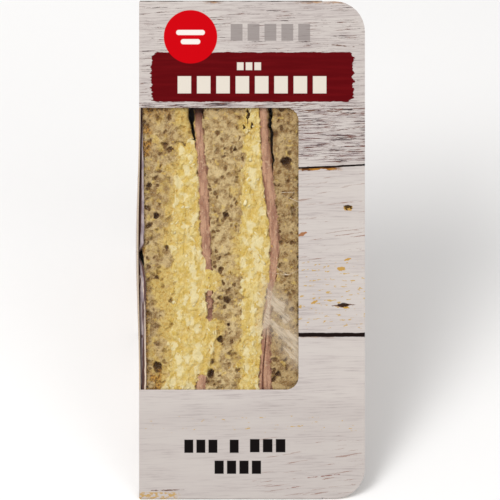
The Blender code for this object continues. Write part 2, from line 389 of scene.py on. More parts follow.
def shares(u, v):
    """Shares of egg and ham from 0 to 1, and how far across each slice of bread egg has crept."""
    wave, other = rough(u, v, 0.0032, 4, 401), rough(u, v, 0.0026, 4, 409)
    torn, fringe = rough(u, v, 0.0011, 3, 405), rough(u, v, 0.0016, 4, 407)
    sides = {name: outlines[name].sides(v, CUT_DEPTH) for name in LAYERS}
    left_low = sides["egg_left"][0] - 0.0013 + 0.0014 * wave + 0.0006 * torn
    smear = over_ham(v + 0.0018 * wave + 0.0008 * torn)
    left_high = sides["egg_left"][1] + smear + 0.0005 * other + 0.0003 * torn
    right_low = sides["egg_right"][0] - 0.0003 + 0.0011 * other + 0.0006 * torn
    right_high = sides["egg_right"][1] + 0.0002 + 0.0004 * wave + 0.0002 * torn
    top = ramp(EGG_LEFT_TOP + 0.0018 * other - v, -0.0005, 0.0005)
    egg = np.maximum(band(u, left_low, left_high) * top, band(u, right_low, right_high))
    ham = 0 * u
    for name, high_end in (("ham_left", HAM_LEFT_TOP), ("ham_right", 1.0)):
        low, high = sides[name]
        ham = np.maximum(ham, band(u, low + 0.0004 * torn, high + 0.0005 * fringe) * (v < high_end))
    patches = rough(u, v, 0.0036, 4, 413)
    creep = np.maximum(
        ramp(0.0056 - (left_low - u) + 0.0045 * patches, 0.0, 0.0062) * (u < left_high),
        ramp(0.0026 - (right_low - u) + 0.0030 * patches, 0.0, 0.0048) * (u > left_high + 0.0008),
    )
    beside = ramp(0.0012 + over_ham(v) * 0.5 - (u - left_high) + 0.0012 * patches, 0.0, 0.0020)
    return egg, ham * (1 - egg), np.maximum(creep, beside * (u > left_high)) * (u < right_high)


# %% [markdown]
# Each slice has a few large bubbles that one would notice. They are ellipses, given in millimetres
# on the panel. The left slice is browned where it met the pack at the window's top, and at its lower corner.

# %% Relief of each food
LARGE_BUBBLES = (  # across, up, half width, half height, in mm
    (3.4, 109.4, 1.1, 1.0), (10.6, 122.0, 1.4, 0.9), (6.0, 99.0, 1.2, 1.1), (11.0, 69.2, 0.7, 0.7),
    (6.0, 77.4, 1.1, 0.9), (9.6, 88.0, 0.8, 0.9), (6.4, 46.0, 1.6, 2.2), (33.6, 122.0, 0.8, 0.8),
    (34.2, 112.2, 0.8, 0.6), (30.2, 99.0, 1.2, 1.3), (33.2, 74.8, 0.8, 0.6), (31.1, 61.0, 0.8, 0.8),
    (30.6, 69.6, 1.5, 1.3), (28.2, 70.2, 0.9, 0.9), (28.4, 55.8, 1.1, 1.2), (24.9, 44.0, 1.5, 1.7),
    (51.0, 117.8, 1.8, 1.8), (49.2, 81.6, 1.2, 1.0), (49.4, 69.6, 0.9, 0.8), (50.1, 56.6, 1.6, 0.8),
    (48.4, 43.6, 1.3, 0.9), (50.3, 63.4, 1.2, 0.9),
)
CREVICES = ((37.9, 133.6, 0.5, 2.8), (39.4, 130.4, 0.4, 1.2), (36.6, 129.6, 0.4, 0.7))  # splits in the egg
LEAF_GAP_TOP = WINDOW_BOTTOM + 0.0235
SLICE_TONES = (  # u, and how pale the bread is there
    (0.0, 0.012, 0.022, 0.026, 0.036, 0.045, 0.050), (0.30, 0.50, 0.70, 0.80, 0.65, 0.15, 0.05),
)


def inside(ellipse, u, v):
    """√(1 - q²), where q is the distance from an ellipse's middle as a share of its size."""
    across, up, half_width, half_height = np.array(ellipse) / 1000
    return np.sqrt(np.clip(1 - ((u - across) / half_width) ** 2 - ((v - up) / half_height) ** 2, 0, 1))


def crumb(u, v):
    """How dark the bread's pores are painted, as shade that deepens with their depth, and the depth of its
    face. The face is soft noise plus the deepest bubble.
    """
    warp_u = u + 0.00036 * rough(u, v, 0.0013, 4, 421)
    warp_v = v + 0.00036 * rough(u, v, 0.0013, 4, 431)
    pits = bubbles(warp_u, warp_v, 0.0034, 0.50, (0.0005, 0.0012), 441)
    pits = np.maximum(pits, bubbles(warp_u, warp_v, 0.0021, 0.60, (0.0003, 0.0009), 442))
    pits = np.maximum(pits, bubbles(warp_u, warp_v, 0.0010, 0.60, (0.0001, 0.0004), 443))
    for ellipse in LARGE_BUBBLES:
        pits = np.maximum(pits, 0.0014 * min(ellipse[2:]) * inside(ellipse, warp_u, warp_v))
    uneven = 0.00028 * rough(u, v, 0.0045, 2, 451) + 0.00021 * rough(u, v, 0.0013, 3, 455)
    patchy = 0.75 + 0.45 * rough(u, v, 0.0045, 2, 457) + 0.20 * rough(u, v, 0.0008, 2, 459)
    # Painted shade: a pore is painted darker the deeper it is.
    pore_shade = np.clip(pits / 0.0013 * patchy, 0, 1)
    return pore_shade, 0.00012 + uneven + 0.9 * pits


def mash(u, v):
    """How dark the chopped egg's creases are painted, as shade, its chips, and its relief: billows |noise| of
    two sizes, with flat chips of egg white, which are stretched cells, pressed into it."""
    warp_u, warp_v = u + 0.0005 * rough(u, v, 0.0020, 3, 461), v + 0.0005 * rough(u, v, 0.0020, 3, 465)
    large = np.abs(rough(warp_u, 0.65 * warp_v, 0.0021, 2, 471))
    small = np.abs(rough(warp_u, 0.80 * warp_v, 0.0009, 2, 475))
    far, _, number = lumps(warp_u + 0.0006 * rough(u, v, 0.0011, 3, 487), 0.55 * warp_v, 0.0022, 479)
    chip = ramp(0.25 + 0.3 * number - far, -0.14, 0.14) * (number > 0.67)
    # Painted shade: the creases between billows are darkened, in gold, except on chips.
    crease_shade = np.clip(0.65 * np.exp(-large / 0.16) + 0.40 * np.exp(-small / 0.14), 0, 1) * (1 - chip)
    billows = 0.00062 * large + 0.00024 * small
    depth = 0.00032 - billows * (1 - 0.5 * chip) - 0.00018 * chip + 0.00020 * rough(u, v, 0.006, 2, 483)
    return crease_shade, chip, depth


def slice_edge(u, v):
    """The ham's trench between two leaves and its painted shade, its fat flecks and its relief. Low down, the
    right-hand slice is folded, and a trench e^(-(distance/width)²) runs between its leaves, sunk and painted
    with shade. Painted shade, a little sunk too, runs along each slice's edges, and dark sunken patches lie
    higher on the left ham."""
    across = 0 * u
    for name in ("ham_left", "ham_right"):
        left, right = outlines[name].sides(v, CUT_DEPTH)
        across = np.where(np.abs(2 * u - left - right) < right - left + 0.002,
                          (2 * u - left - right) / (right - left), across)
    middle = -0.16 + 0.20 * rough(v, 0 * v, 0.011, 2, 509)
    width = 0.11 + 0.12 * ramp(v, WINDOW_BOTTOM + 0.004, WINDOW_BOTTOM - 0.001)
    folded = (1 - ramp(v, LEAF_GAP_TOP - 0.004, LEAF_GAP_TOP)) * (u > BETWEEN_HAMS)
    trench_and_shade = np.exp(-(((across - middle) / width) ** 2)) * folded
    torn = hump(v, WINDOW_BOTTOM + 0.0250, WINDOW_BOTTOM + 0.0340, 0.002) * (u < BETWEEN_HAMS)
    trench_and_shade = np.maximum(trench_and_shade, 0.8 * torn * ramp(rough(u, v, 0.0016, 3, 551), -0.3, 0.3))
    # Painted shade along each slice's edges, where it meets its neighbours, sunk a little as well.
    seam_shade = ramp(np.abs(across) + 0.25 * rough(u, v, 0.002, 3, 555), 0.80, 1.10)
    trench_and_shade = np.maximum(trench_and_shade, 0.55 * seam_shade)
    fibres = 0.00010 * rough(across * 4, v / 0.004, 1.0, 3, 501) + 0.00012 * rough(u, v, 0.003, 2, 505)
    flecks = ramp(rough(across * 2.2, v / 0.0012, 1.0, 3, 514), 0.65, 1.15)
    crown = 0.00030 * np.clip(across, -1.2, 1.2) ** 4
    return trench_and_shade, flecks, 0.00008 + fibres + crown + 0.0007 * trench_and_shade


def browning_and_shade(u, v):
    """Toasted crumb in a line at the window's top that fades downwards, and a brown patch at the lower
    corner.
    Patches by the left edge are painted shade, where the slice lies in the shadow of the pack's side.
    """
    top = ramp(v + 0.0012 * rough(u, v, 0.003, 3, 301), WINDOW_TOP - 0.0060, WINDOW_TOP + 0.0010)
    top = top * (1 - ramp(u, 0.009, 0.013)) + 0.35 * top * (u > 0.025)
    foot = hump(v, WINDOW_BOTTOM - 0.001, WINDOW_BOTTOM + 0.008, 0.002) * hump(u, 0.0042, 0.0072, 0.0012)
    # Painted shade: side, kink and under darken the slice by its left edge, where it lies in the shadow of
    # the pack's side.
    side = hump(v, 0.1205, 0.1300, 0.003) * (1 - ramp(u, 0.0030, 0.0056))
    kink = hump(v, 0.0865, 0.0885, 0.0012) * (1 - ramp(u, 0.0014, 0.0026))
    under = 0.8 * (1 - ramp(u, 0.0026, 0.0036)) * (1 - ramp(v, 0.0700, 0.0780))
    torn = ramp(rough(u, v, 0.0020, 3, 310), -0.5, 0.35)
    return np.maximum.reduce([top * 0.8, np.maximum(foot, side) * torn, kink, under])


def cut_face(u, v):
    """How far the cut face lies behind its mean plane, and its attributes: each food's relief, mixed by the
    shares of the foods."""
    egg, ham, stain = shares(u, v)
    split_u, split_v = u + 0.0004 * rough(u, v, 0.0012, 3, 541), v + 0.0004 * rough(u, v, 0.0012, 3, 545)
    split = np.maximum.reduce([inside(ellipse, split_u, split_v) for ellipse in CREVICES])
    egg = egg * (1 - ramp(split, 0.2, 0.5))
    pore_shade, bread_depth = crumb(u, v)
    # The egg's splits are cut deeper and painted dark with the pores' shade.
    pore_shade, bread_depth = np.maximum(pore_shade, split), bread_depth + 0.0016 * split
    crease_shade, chip, egg_depth = mash(u, v)
    trench_and_shade, fat, ham_depth = slice_edge(u, v)
    # Where the left ham leans back at its top, it is sunk and painted with shade.
    up_the_lean = np.clip((v - HAM_LEFT_TOP) / HAM_LEAN_HEIGHT + 1, 0, 1) * (u < BETWEEN_HAMS)
    trench_and_shade = np.maximum(trench_and_shade, 0.9 * ramp(up_the_lean, 0.0, 0.6))
    ham_depth = ham_depth + HAM_LEAN * up_the_lean**2
    flecks = ramp(rough(u, v, 0.0016, 3, 520) + 0.25 * ramp(u, 0.018, 0.012), 0.70, 1.05)
    slices = np.interp(u, *SLICE_TONES)
    attributes = {
        "egg": egg, "ham": ham, "pore_shade": pore_shade, "crease_shade": crease_shade, "chip": chip, "trench_and_shade": trench_and_shade, "fat": fat,
        "stain": np.maximum(0.9 * stain, 0.75 * flecks), "toast_and_shade": browning_and_shade(u, v),
        "tone": np.clip(slices + 0.30 * rough(u, v, 0.0055, 3, 530), 0, 1),
    }
    return bread_depth * (1 - egg - ham) + egg_depth * egg + ham_depth * ham, attributes


print(f"{len(LARGE_BUBBLES)} large bubbles and {len(CREVICES)} splits placed by hand")


# %% [markdown]
# ## A layer as one closed surface
#
# Walk once round a layer at a fixed height: across the cut face, back along one side, across the crust
# and forward along the other side. That walk is a closed profile, and carried up the panel it sweeps the
# whole layer. The cut face gets a point every sixth of a millimetre, because it is what one looks at, and
# the hidden walls get only a few. At an open gap the face turns in with a quarter circle.

# %% Sweeping a layer
FINE = 0.00017
HIDDEN_ROWS = 14
WALL_COLUMNS = 9
BACK_COLUMNS = 8
SEEN_BEYOND = 0.002  # rows stay fine this far past the window
END_ROUND = 0.0012
EDGE_ROUND = 0.0014


def rows_between(low, high):
    """v of the rows: FINE apart behind the window, and a few towards each end."""
    bottom, top = max(low, WINDOW_BOTTOM - SEEN_BEYOND), min(high, WINDOW_TOP + SEEN_BEYOND)
    fine = np.linspace(bottom, top, int((top - bottom) / FINE))
    ends = END_ROUND * (1 - np.cos(np.linspace(0, math.pi / 2, 7)))
    rows = [fine, np.linspace(low, bottom, HIDDEN_ROWS), np.linspace(top, high, HIDDEN_ROWS)]
    return np.unique(np.round(np.concatenate([*rows, low + ends, high - ends]), 7))


def sweep_layer(k):
    """Layer k. A point of the cut face is at u = left + share·(right - left) and d = cut + relief, plus
    R - √(R² - (R - e)²) where it is e from an open edge, with e less than R."""
    name = LAYERS[k]
    outline = outlines[name]
    v = rows_between(outline.v[0], HAM_LEFT_TOP if name == "ham_left" else outline.v[-1])[:, None]
    (left, left_gap), (right, right_gap) = border(k, 0, v), border(k, 1, v)
    columns = int((right - left).max() / FINE)
    u = left + np.linspace(0, 1, columns) * (right - left)
    depth, attributes = cut_face(u, np.broadcast_to(v, u.shape))
    for from_edge, gap in ((u - left, left_gap), (right - u, right_gap)):
        radius = EDGE_ROUND * ramp(gap, 0.0003, OPEN_GAP) + 1e-6
        into = np.clip(1 - from_edge / radius, 0, 1)
        depth = depth + radius * (1 - np.sqrt(1 - into**2))
    d = CUT_DEPTH + depth
    crust = np.interp(v, outline.v, outline.crust) - np.clip(v - outline.v[-1], 0, None)
    share = np.linspace(0, 1, WALL_COLUMNS + 1)[1:] ** 2
    walls = []
    for side, edge, front in ((1, right, d[:, -1:]), (0, left, d[:, :1])):
        wall_d = front + share * np.clip(crust - front, 0.0, None)
        wall_u = outline.sides(v, wall_d)[side] + (edge - outline.sides(v, front)[side]) * (1 - share)
        walls.append((wall_u, wall_d))
    across = np.linspace(0, 1, BACK_COLUMNS + 2)[1:-1]
    back_u = walls[0][0][:, -1:] * (1 - across) + walls[1][0][:, -1:] * across
    back_d = np.broadcast_to(crust, back_u.shape)
    u = np.concatenate([u, walls[0][0], back_u, walls[1][0][:, ::-1]], axis=1)
    d = np.concatenate([d, walls[0][1], back_d, walls[1][1][:, ::-1]], axis=1)
    to_end = np.minimum(v - v.min(), v.max() - v)
    width = np.sqrt(np.clip(1 - (1 - np.clip(to_end / END_ROUND, 0, 1)) ** 2, 0, 1))
    middle = 0.5 * (walls[0][0][:, :1] + walls[1][0][:, :1])
    u = middle + (u - middle) * width
    half = WALL_COLUMNS + BACK_COLUMNS // 2
    attributes = {key: np.concatenate([value, np.repeat(value[:, -1:], half, axis=1),
                                       np.repeat(value[:, :1], half, axis=1)], axis=1)
                  for key, value in attributes.items()}
    attributes["crust"] = ramp(d, crust - 0.0025, crust - 0.0008)
    points = place(u, np.broadcast_to(v, u.shape), d).reshape(-1, 3)
    made = build(name + "_cut", points, quads_of(len(v), u.shape[1], closed=True), attributes)
    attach(made, "root")
    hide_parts(name)
    return made


(
    bread_left, egg_left, ham_left, bread_middle, egg_right, ham_right, bread_right,
) = map(sweep_layer, range(len(LAYERS)))

# %% [markdown]
# ## Loose bits on the cut face
#
# The knife leaves small shreds of egg white and golden crumbs of yolk standing on the face. Each kind is
# one mesh of many small closed forms. All forms of a kind are worked out at once: one rounded box in
# spherical angles, stretched, turned and shifted by arrays with one entry for each bit.

# %% Scattering bits
def scatter(name, slot, u, v, d, sizes, turns, seed, rings=4, sectors=6, squareness=0.8):
    """Joined bits. At angles (a, b) a bit's point is (cos a·cos b, cos a·sin b, sin a) with each factor
    raised to the squareness, times its three sizes, times 1 + noise, turned in the panel's plane."""
    a = np.linspace(-math.pi / 2, math.pi / 2, rings + 1)[None, :, None]
    b = np.linspace(0, 2 * math.pi, sectors, endpoint=False)[None, None, :]

    def power(x):
        return np.sign(x) * np.abs(x) ** squareness

    draw = np.random.default_rng(seed)
    bump = draw.uniform(0.6, 1.3, (len(u), rings + 1, sectors))
    bump[:, 0], bump[:, -1] = bump[:, 0, :1], bump[:, -1, :1]
    x = power(np.cos(a)) * power(np.cos(b)) * bump * sizes[:, 0, None, None]
    y = power(np.cos(a)) * power(np.sin(b)) * bump * sizes[:, 1, None, None]
    z = power(np.sin(a)) * np.ones_like(b) * bump * sizes[:, 2, None, None]
    cosine, sine = np.cos(turns)[:, None, None], np.sin(turns)[:, None, None]
    shifted = place(
        u[:, None, None] + x * cosine - y * sine,
        v[:, None, None] + x * sine + y * cosine,
        d[:, None, None] + z,
    )
    one = quads_of(rings + 1, sectors, closed=True)
    starts = (np.arange(len(u)) * (rings + 1) * sectors)[:, None, None]
    tone = np.broadcast_to(draw.uniform(0, 1, len(u))[:, None, None], x.shape)
    made = build(name, shifted.reshape(-1, 3), (one[None] + starts).reshape(-1, 4), {"tone": tone})
    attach(made, "root")
    return made


def egg_bits(count, sizes, flatness, seed, margins):
    """Places, sizes and turns of bits over both egg layers. The bits reach the margins past the layers'
    sides, and each bit's middle is on the face, so that half of it is sunk."""
    draw = np.random.default_rng(seed)
    low = np.array([outlines[name].v[0] for name in ("egg_left", "egg_right")]).max()
    v = draw.uniform(max(low, WINDOW_BOTTOM), WINDOW_TOP, 2 * count)
    first = np.arange(2 * count) < count
    v = np.where(first, WINDOW_BOTTOM + (v - WINDOW_BOTTOM) * 0.88, v)
    left_a, right_a = outlines["egg_left"].sides(v, CUT_DEPTH)
    left_b, right_b = outlines["egg_right"].sides(v, CUT_DEPTH)
    left = np.where(first, left_a, left_b) - margins[0]
    right = np.where(first, right_a + over_ham(v), right_b) + margins[1]
    u = left + draw.uniform(0, 1, 2 * count) * (right - left)
    size = sizes[0] + (sizes[1] - sizes[0]) * draw.uniform(0, 1, 2 * count) ** 2.2
    shape = np.stack([size, size * draw.uniform(0.3, 0.6, 2 * count), size * flatness], axis=1)
    depth, _ = cut_face(u, v)
    return u, v, CUT_DEPTH + depth, shape, draw.normal(1.35, 0.6, 2 * count)


# %% Shreds and crumbs
*where, shape, turns = egg_bits(80, (0.0004, 0.0012), 0.20, 610, (0.0010, 0.0002))
egg_shreds = scatter("egg_white_shreds", "egg_mayonnaise", *where, shape, turns, 620)
*where, shape, turns = egg_bits(90, (0.0002, 0.0006), 0.6, 640, (0.0040, 0.0010))
yolk_crumbs = scatter("yolk_crumbs", "egg_mayonnaise", *where, shape, turns, 650)

# %% [markdown]
# ## The bowed side
#
# The window is cut past the left fold, which frees an edge of the left side panel, and that edge bows
# out. The film is glued to the same panel, so both follow one function.

# %% How the side bows
BULGE, BULGE_EDGE_SHARE, BULGE_RISE = 0.00145, 0.5, 0.020


def bulge(v, d):
    """How far the left side panel bows out: sin² along its free edge, rising from half to the whole over
    the first 20 mm behind the edge, and falling to nothing at the folds as 1 - (d/reach)²."""
    along = np.clip((v - WINDOW_BOTTOM) / (WINDOW_TOP - WINDOW_BOTTOM), 0, 1)
    reach = np.maximum(np.minimum(v, FACE - v), 1e-6)
    rise = np.sin(math.pi / 2 * np.clip(d / BULGE_RISE, 0, 1))
    share = BULGE_EDGE_SHARE + (1 - BULGE_EDGE_SHARE) * rise
    return BULGE * np.sin(math.pi * along) ** 2 * share * (1 - np.clip(d / reach, 0, 1) ** 2)


# %% [markdown]
# ## Window film
#
# The film is one sheet, glued behind the front board and turned back inside the left side panel. Its
# profile runs forward along the side, round a small bend and across the window. Carried up the panel it
# is nearly a straight sheet, but film buckles: pleats run beside the bend, and it clings to the bread low
# on the right. The pleats' mauve and milky look is painted reflection, the dark between them is painted
# shade of the gap behind, and a cling mark is a smear with painted glare. Each kind of mark is an
# attribute, the distance in millimetres to its nearest mark.

# %% Cling marks
FILM_GAP = 0.0008  # the film behind the front
FILM_SIDE = 0.0006  # the film inside the left fold
FILM_BEND = 0.0012
FILM_RETURN = 0.013
FILM_MARGIN = 0.007
RIGHT_TRIM = 0.0013  # the right-hand margin is this much narrower, to end short of the fold
FILM_THICKNESS = 0.00005
FILM_GRID = 0.0003
FREE_EDGE = 0.003  # the film starts to crumple this far inside the window's ends
SLACK = 0.00012
PLEAT_HEIGHT, PLEAT_PITCH = 0.00012, 0.00045
DIMPLE_HEIGHT, DIMPLE = 0.00010, 0.012


def segment(u, v, start, end, start_width, end_width):
    """Signed distance, in mm, to a tapering stroke: the distance to the segment less its half width."""
    along = (end[0] - start[0], end[1] - start[1])
    t = ((u - start[0]) * along[0] + (v - start[1]) * along[1]) / (along[0] ** 2 + along[1] ** 2)
    t = np.clip(t, 0, 1)
    away = np.hypot(u - start[0] - t * along[0], v - start[1] - t * along[1])
    return away - start_width - t * (end_width - start_width)


CLINGS = (  # start, end and half widths, in mm: two fans that spread from the ham over the right slice
    ((44.8, 73.2), (48.6, 67.2), 0.4, 2.5), ((47.0, 69.0), (51.6, 62.4), 1.8, 1.2),
    ((45.0, 71.0), (44.2, 60.5), 0.7, 1.2),
    ((44.0, 62.8), (56.0, 53.5), 0.9, 2.9), ((50.5, 52.6), (56.5, 48.6), 0.5, 2.2),
)
STREAKS = (  # hair-thin creases
    ((48.6, 107.6), (56.0, 106.8)), ((49.2, 107.0), (55.6, 103.4)), ((51.0, 99.6), (55.4, 101.8)),
    ((44.4, 79.6), (52.0, 78.6)), ((46.4, 82.6), (51.2, 78.8)), ((52.0, 78.6), (56.0, 79.8)),
)


def cling_marks(u, v):
    """Distances in mm to the nearest cling mark and to the nearest streak."""
    u, v = u * 1000, v * 1000
    wobble_u, wobble_v = u + 0.55 * rough(u, v, 2.2, 4, 710), v + 0.55 * rough(u, v, 2.2, 4, 720)
    clings = [segment(wobble_u, wobble_v, *cling) for cling in CLINGS]
    bowed = v + 0.5 * np.sin((u - 44) / 3.2)
    streaks = [segment(u, bowed, start, end, 0.02, 0.08) for start, end in STREAKS]
    return np.minimum.reduce(clings), np.minimum.reduce(streaks)


# %% [markdown]
# Beside the fold, pleats run up the whole window. Their edges are read off at a few heights above the
# window's foot and joined by straight lines, as one would draw them with a ruler.

# %% Pleats beside the fold
CRUMPLE_EDGE = ((0, 38, 42, 45, 47.5, 50, 53, 78, 96), (2.5, 2.3, 1.8, 0.6, -0.2, 1.6, 1.8, 1.5, 1.2))
STRIPS = {  # heights, middles and half widths, in mm
    "upper": ((48, 51, 56, 62, 78, 86, 94), (-0.1, 0.9, 1.2, 1.3, 1.2, 1.1, 1.0),
              (0, 0.6, 0.5, 0.4, 0.3, 0.2, 0)),
    "lower": ((0, 14, 20, 30, 38, 43, 46), (0.7, 0.7, 0.85, 0.9, 1.1, 0.6, 0.0),
              (0.2, 0.5, 0.78, 0.68, 0.6, 0.3, 0)),
    "slit": ((22, 25, 29, 32), (1.35, 1.3, 1.3, 1.4), (0, 0.25, 0.22, 0)),
    "low_slit": ((17.5, 18.5, 19.5), (1.1, 1.0, 0.9), (0, 0.35, 0)),
    "loop_sheen": ((0, 20, 30, 37, 39.6, 40), (2.1, 2.1, 1.9, 1.15, 0.5, 0.3), (0.24, 0.2, 0.14, 0.12, 0.12, 0)),
    "loop_end": ((34, 37, 39.6, 40), (-0.2, -0.2, 0.15, 0.3), (0, 0.1, 0.12, 0)),
}
LOOP_TOP, LOWER_TOP, UPPER_FOOT = 40.2, 46.2, 47.5
FAR = 9.0  # the distance where a strip has ended


def strip(u, height, heights, middles, halves):
    """Distance in mm to an upright strip whose middle and half width change with height."""
    return np.abs(u - np.interp(height, heights, middles)) - np.interp(height, heights, halves)


def pleat_marks(u, v):
    """Distances in mm to the crumpled band, which is painted dark with the shade of the gap behind the film,
    to its mauve pleats, painted with their reflection, and to its pale creased edges, painted as highlights.
    The lower pleat is slit in two places."""
    u, height = u * 1000, (v - WINDOW_BOTTOM) * 1000
    u = u + 0.10 * rough(u, height, 2.2, 3, 760)
    away = {name: strip(u, height, *shape) for name, shape in STRIPS.items()}
    lower = np.maximum(away["lower"], -np.minimum(away["slit"], away["low_slit"]))
    loop_sheen = np.minimum(away["loop_sheen"], away["loop_end"])
    loop_sheen = np.where(height < LOOP_TOP, loop_sheen, FAR)
    lower = np.where(height < LOWER_TOP, lower, FAR)
    upper = np.where(height > UPPER_FOOT, away["upper"], FAR)
    return u - np.interp(height, *CRUMPLE_EDGE), np.minimum(lower, upper), loop_sheen


def make_film():
    """The film: profile (FILM_SIDE, far) to the bend's quarter circle to (far right, FILM_GAP)."""
    back = np.linspace(FILM_GAP + FILM_BEND + FILM_RETURN, FILM_GAP + FILM_BEND, 16)
    turn = np.linspace(0, math.pi / 2, 9)[1:-1]
    right_end = WINDOW_RIGHT + FILM_MARGIN - RIGHT_TRIM
    flat = np.linspace(FILM_SIDE + FILM_BEND, right_end, int((right_end - FILM_SIDE - FILM_BEND) / FILM_GRID))
    bend_u = FILM_SIDE + FILM_BEND * (1 - np.cos(turn))
    bend_d = FILM_GAP + FILM_BEND * (1 - np.sin(turn))
    u = np.concatenate([FILM_SIDE + 0 * back, bend_u, flat])
    d = np.concatenate([back, bend_d, FILM_GAP + 0 * flat])
    bottom, top = WINDOW_BOTTOM - FILM_MARGIN, WINDOW_TOP + FILM_MARGIN
    v = np.linspace(bottom, top, int((top - bottom) / FILM_GRID))[:, None]
    u, d = np.broadcast_to(u, (len(v), len(u))), np.broadcast_to(d, (len(v), len(d)))
    v = np.broadcast_to(v, u.shape)
    free = hump(v, WINDOW_BOTTOM + FREE_EDGE, WINDOW_TOP - FREE_EDGE, FREE_EDGE)
    pleats = PLEAT_HEIGHT * np.sin((u - 0.0006 * rough(v, 0 * v, 0.03, 2, 730)) / PLEAT_PITCH)
    near_fold = hump(u, 0.0010, 0.0030, 0.0020)
    dimples = DIMPLE_HEIGHT * rough(u, v, DIMPLE, 2, 740)
    u = u - bulge(v, np.clip(d - FILM_GAP, 0, None)) * ramp(u, 0.0030, FILM_SIDE)
    d = d + free * (SLACK + pleats * near_fold + dimples) * (d < 0.004)
    # The band, pleat and loop marks place painted shade and painted reflection on the film; the cling marks
    # place painted glare on a smear.
    names = ("cling", "streak", "band", "pleat_sheen", "loop_sheen")
    marks = dict(zip(names, (*cling_marks(u, v), *pleat_marks(u, v))))
    points = place(u, v, d).reshape(-1, 3)
    return build("film", points, quads_of(*u.shape), marks, solid=False)


film = make_film()
thickness = film.modifiers.new("thickness", "SOLIDIFY")
thickness.thickness = FILM_THICKNESS
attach(film, "root")
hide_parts("window_film")

# %% [markdown]
# ## The carton
#
# A carton is one flat blank of printed card, folded and glued. Each panel is a plain grid here. A fold
# isn't sharp, because the board bends over its own thickness, so two panels stop a little short of their
# shared fold line, and a quadratic Bézier strip, pulled towards that line, joins them.
# Every point also carries its place on the flat blank, in metres, as its UV. The print follows those, so
# planks run on round the folds as they do on a real blank. A Solidify modifier then gives the board its
# thickness, with a second finish inside and a third on the cut edges.

# %% Panels, folds and corners
BOARD = 0.0005
FOLD = 0.0003  # radius of a fold
ACUTE_FOLD = FOLD * (1 + math.sqrt(2))  # where a fold of 45 degrees starts, for the same radius
FOLD_STEPS = 5


def panel(u, v, d, flat_u, flat_v, facing):
    """A grid in panel coordinates with its flat blank coordinates, facing +1 or -1 along one axis."""
    grid = np.stack(np.broadcast_arrays(u, v, d, flat_u, flat_v), axis=-1)
    return grid, np.array(facing, float)


def line(u, v, d):
    """The points of a fold line."""
    return np.stack(np.broadcast_arrays(u, v, d), axis=-1).astype(float)


def line_flat(first, second):
    """The blank coordinates half way round a fold: the mean of its two edges where they are neighbours on
    the blank, and otherwise those of the first edge."""
    near = np.abs(first[:, 3:] - second[:, 3:]).max(axis=1, keepdims=True) < 4 * ACUTE_FOLD
    return np.where(near, 0.5 * (first[:, 3:] + second[:, 3:]), first[:, 3:])


def fold_strip(first, second, fold_line, facing):
    """Joins two matched edges round a fold line: (1-s)²·first + 2s(1-s)·line + s²·second."""
    s = np.linspace(0, 1, FOLD_STEPS)[None, :, None]
    grid = np.repeat(first[:, None], FOLD_STEPS, axis=1).copy()
    grid[..., :3] = ((1 - s) ** 2 * first[:, None, :3] + 2 * s * (1 - s) * fold_line[:, None]
                     + s**2 * second[:, None, :3])
    grid[..., 3:] = first[:, None, 3:] * (1 - s) + (2 * line_flat(first, second) - first[:, 3:])[:, None] * s
    return grid, np.array(facing, float)


def corner_patch(curves, facing):
    """Fills the small hole where three folds meet: a fan from the mean point of its edge curves."""
    ring = np.concatenate([curve[:-1] for curve in curves] + [curves[0][:1]])
    ring[:, 3:] = ring[:1, 3:]
    middle = np.broadcast_to(ring[:-1].mean(axis=0), ring.shape)
    return np.stack([ring, middle], axis=1), np.array(facing, float)


# %% [markdown]
# Panels that share a fold need matching points along it, so the places of all grid lines are settled first:
# along the foot, up the right-hand edge, and up the left-hand edge with more of them where it bows.
# The lines across the front board are rays that fan out from the window's rounded corners.

# %% Grid lines of the blank
FLANGE_CORNER = 0.0105
FLANGE_END = 0.0005
FLAP_INSET = 0.001
RIGHT_BLANK = 0.094  # where the right side panel starts on the flat blank
HEEL = FACE / 2  # how far up the front the base and the back meet behind it
HAIR = 1e-5  # keeps the free edge's ends off the folds' ends
WIDEST_RAY = math.radians(66)

fractions = np.linspace(0, 1, 10)
inner_corner = WINDOW_RIGHT - WINDOW_CORNER
low_corner, high_corner = WINDOW_BOTTOM + WINDOW_CORNER, WINDOW_TOP - WINDOW_CORNER
arc = FLANGE_CORNER * (1 - np.cos(np.linspace(0, math.pi / 2, 9)[2:]))
fan = (BODY_WIDTH - inner_corner) * np.tan(np.linspace(WIDEST_RAY, 0, 14))
rise = np.concatenate([[ACUTE_FOLD], FLANGE_END + arc, low_corner - fan])
fall = np.concatenate([high_corner + fan[::-1], FACE - FLANGE_END - arc[::-1], [FACE - ACUTE_FOLD]])
right_v = np.concatenate([rise, np.linspace(low_corner, high_corner, 12)[1:-1], fall])
foot_u = np.concatenate([
    np.linspace(FOLD, inner_corner, 9),
    np.linspace(inner_corner + 0.0012, BODY_WIDTH - FOLD, 6),
])

lower = ACUTE_FOLD + fractions * (WINDOW_BOTTOM - ACUTE_FOLD)
upper = (FACE - ACUTE_FOLD - fractions * (FACE - ACUTE_FOLD - WINDOW_TOP))[::-1]
free = np.concatenate([
    np.linspace(WINDOW_BOTTOM + HAIR, HEEL, 21),
    np.linspace(HEEL, WINDOW_TOP - HAIR, 21)[1:],
])
side_v = np.concatenate([lower, free, upper])[:, None]
low_side, high_side = side_v[:, 0] <= HEEL + 1e-9, side_v[:, 0] >= HEEL - 1e-9
base_v = side_v[low_side] - FOLD * HALF_TURN
back_v = side_v[high_side] + FOLD * HALF_TURN
print(f"{len(foot_u)} lines along the foot, {len(right_v)} up the right and {len(side_v)} up the left")


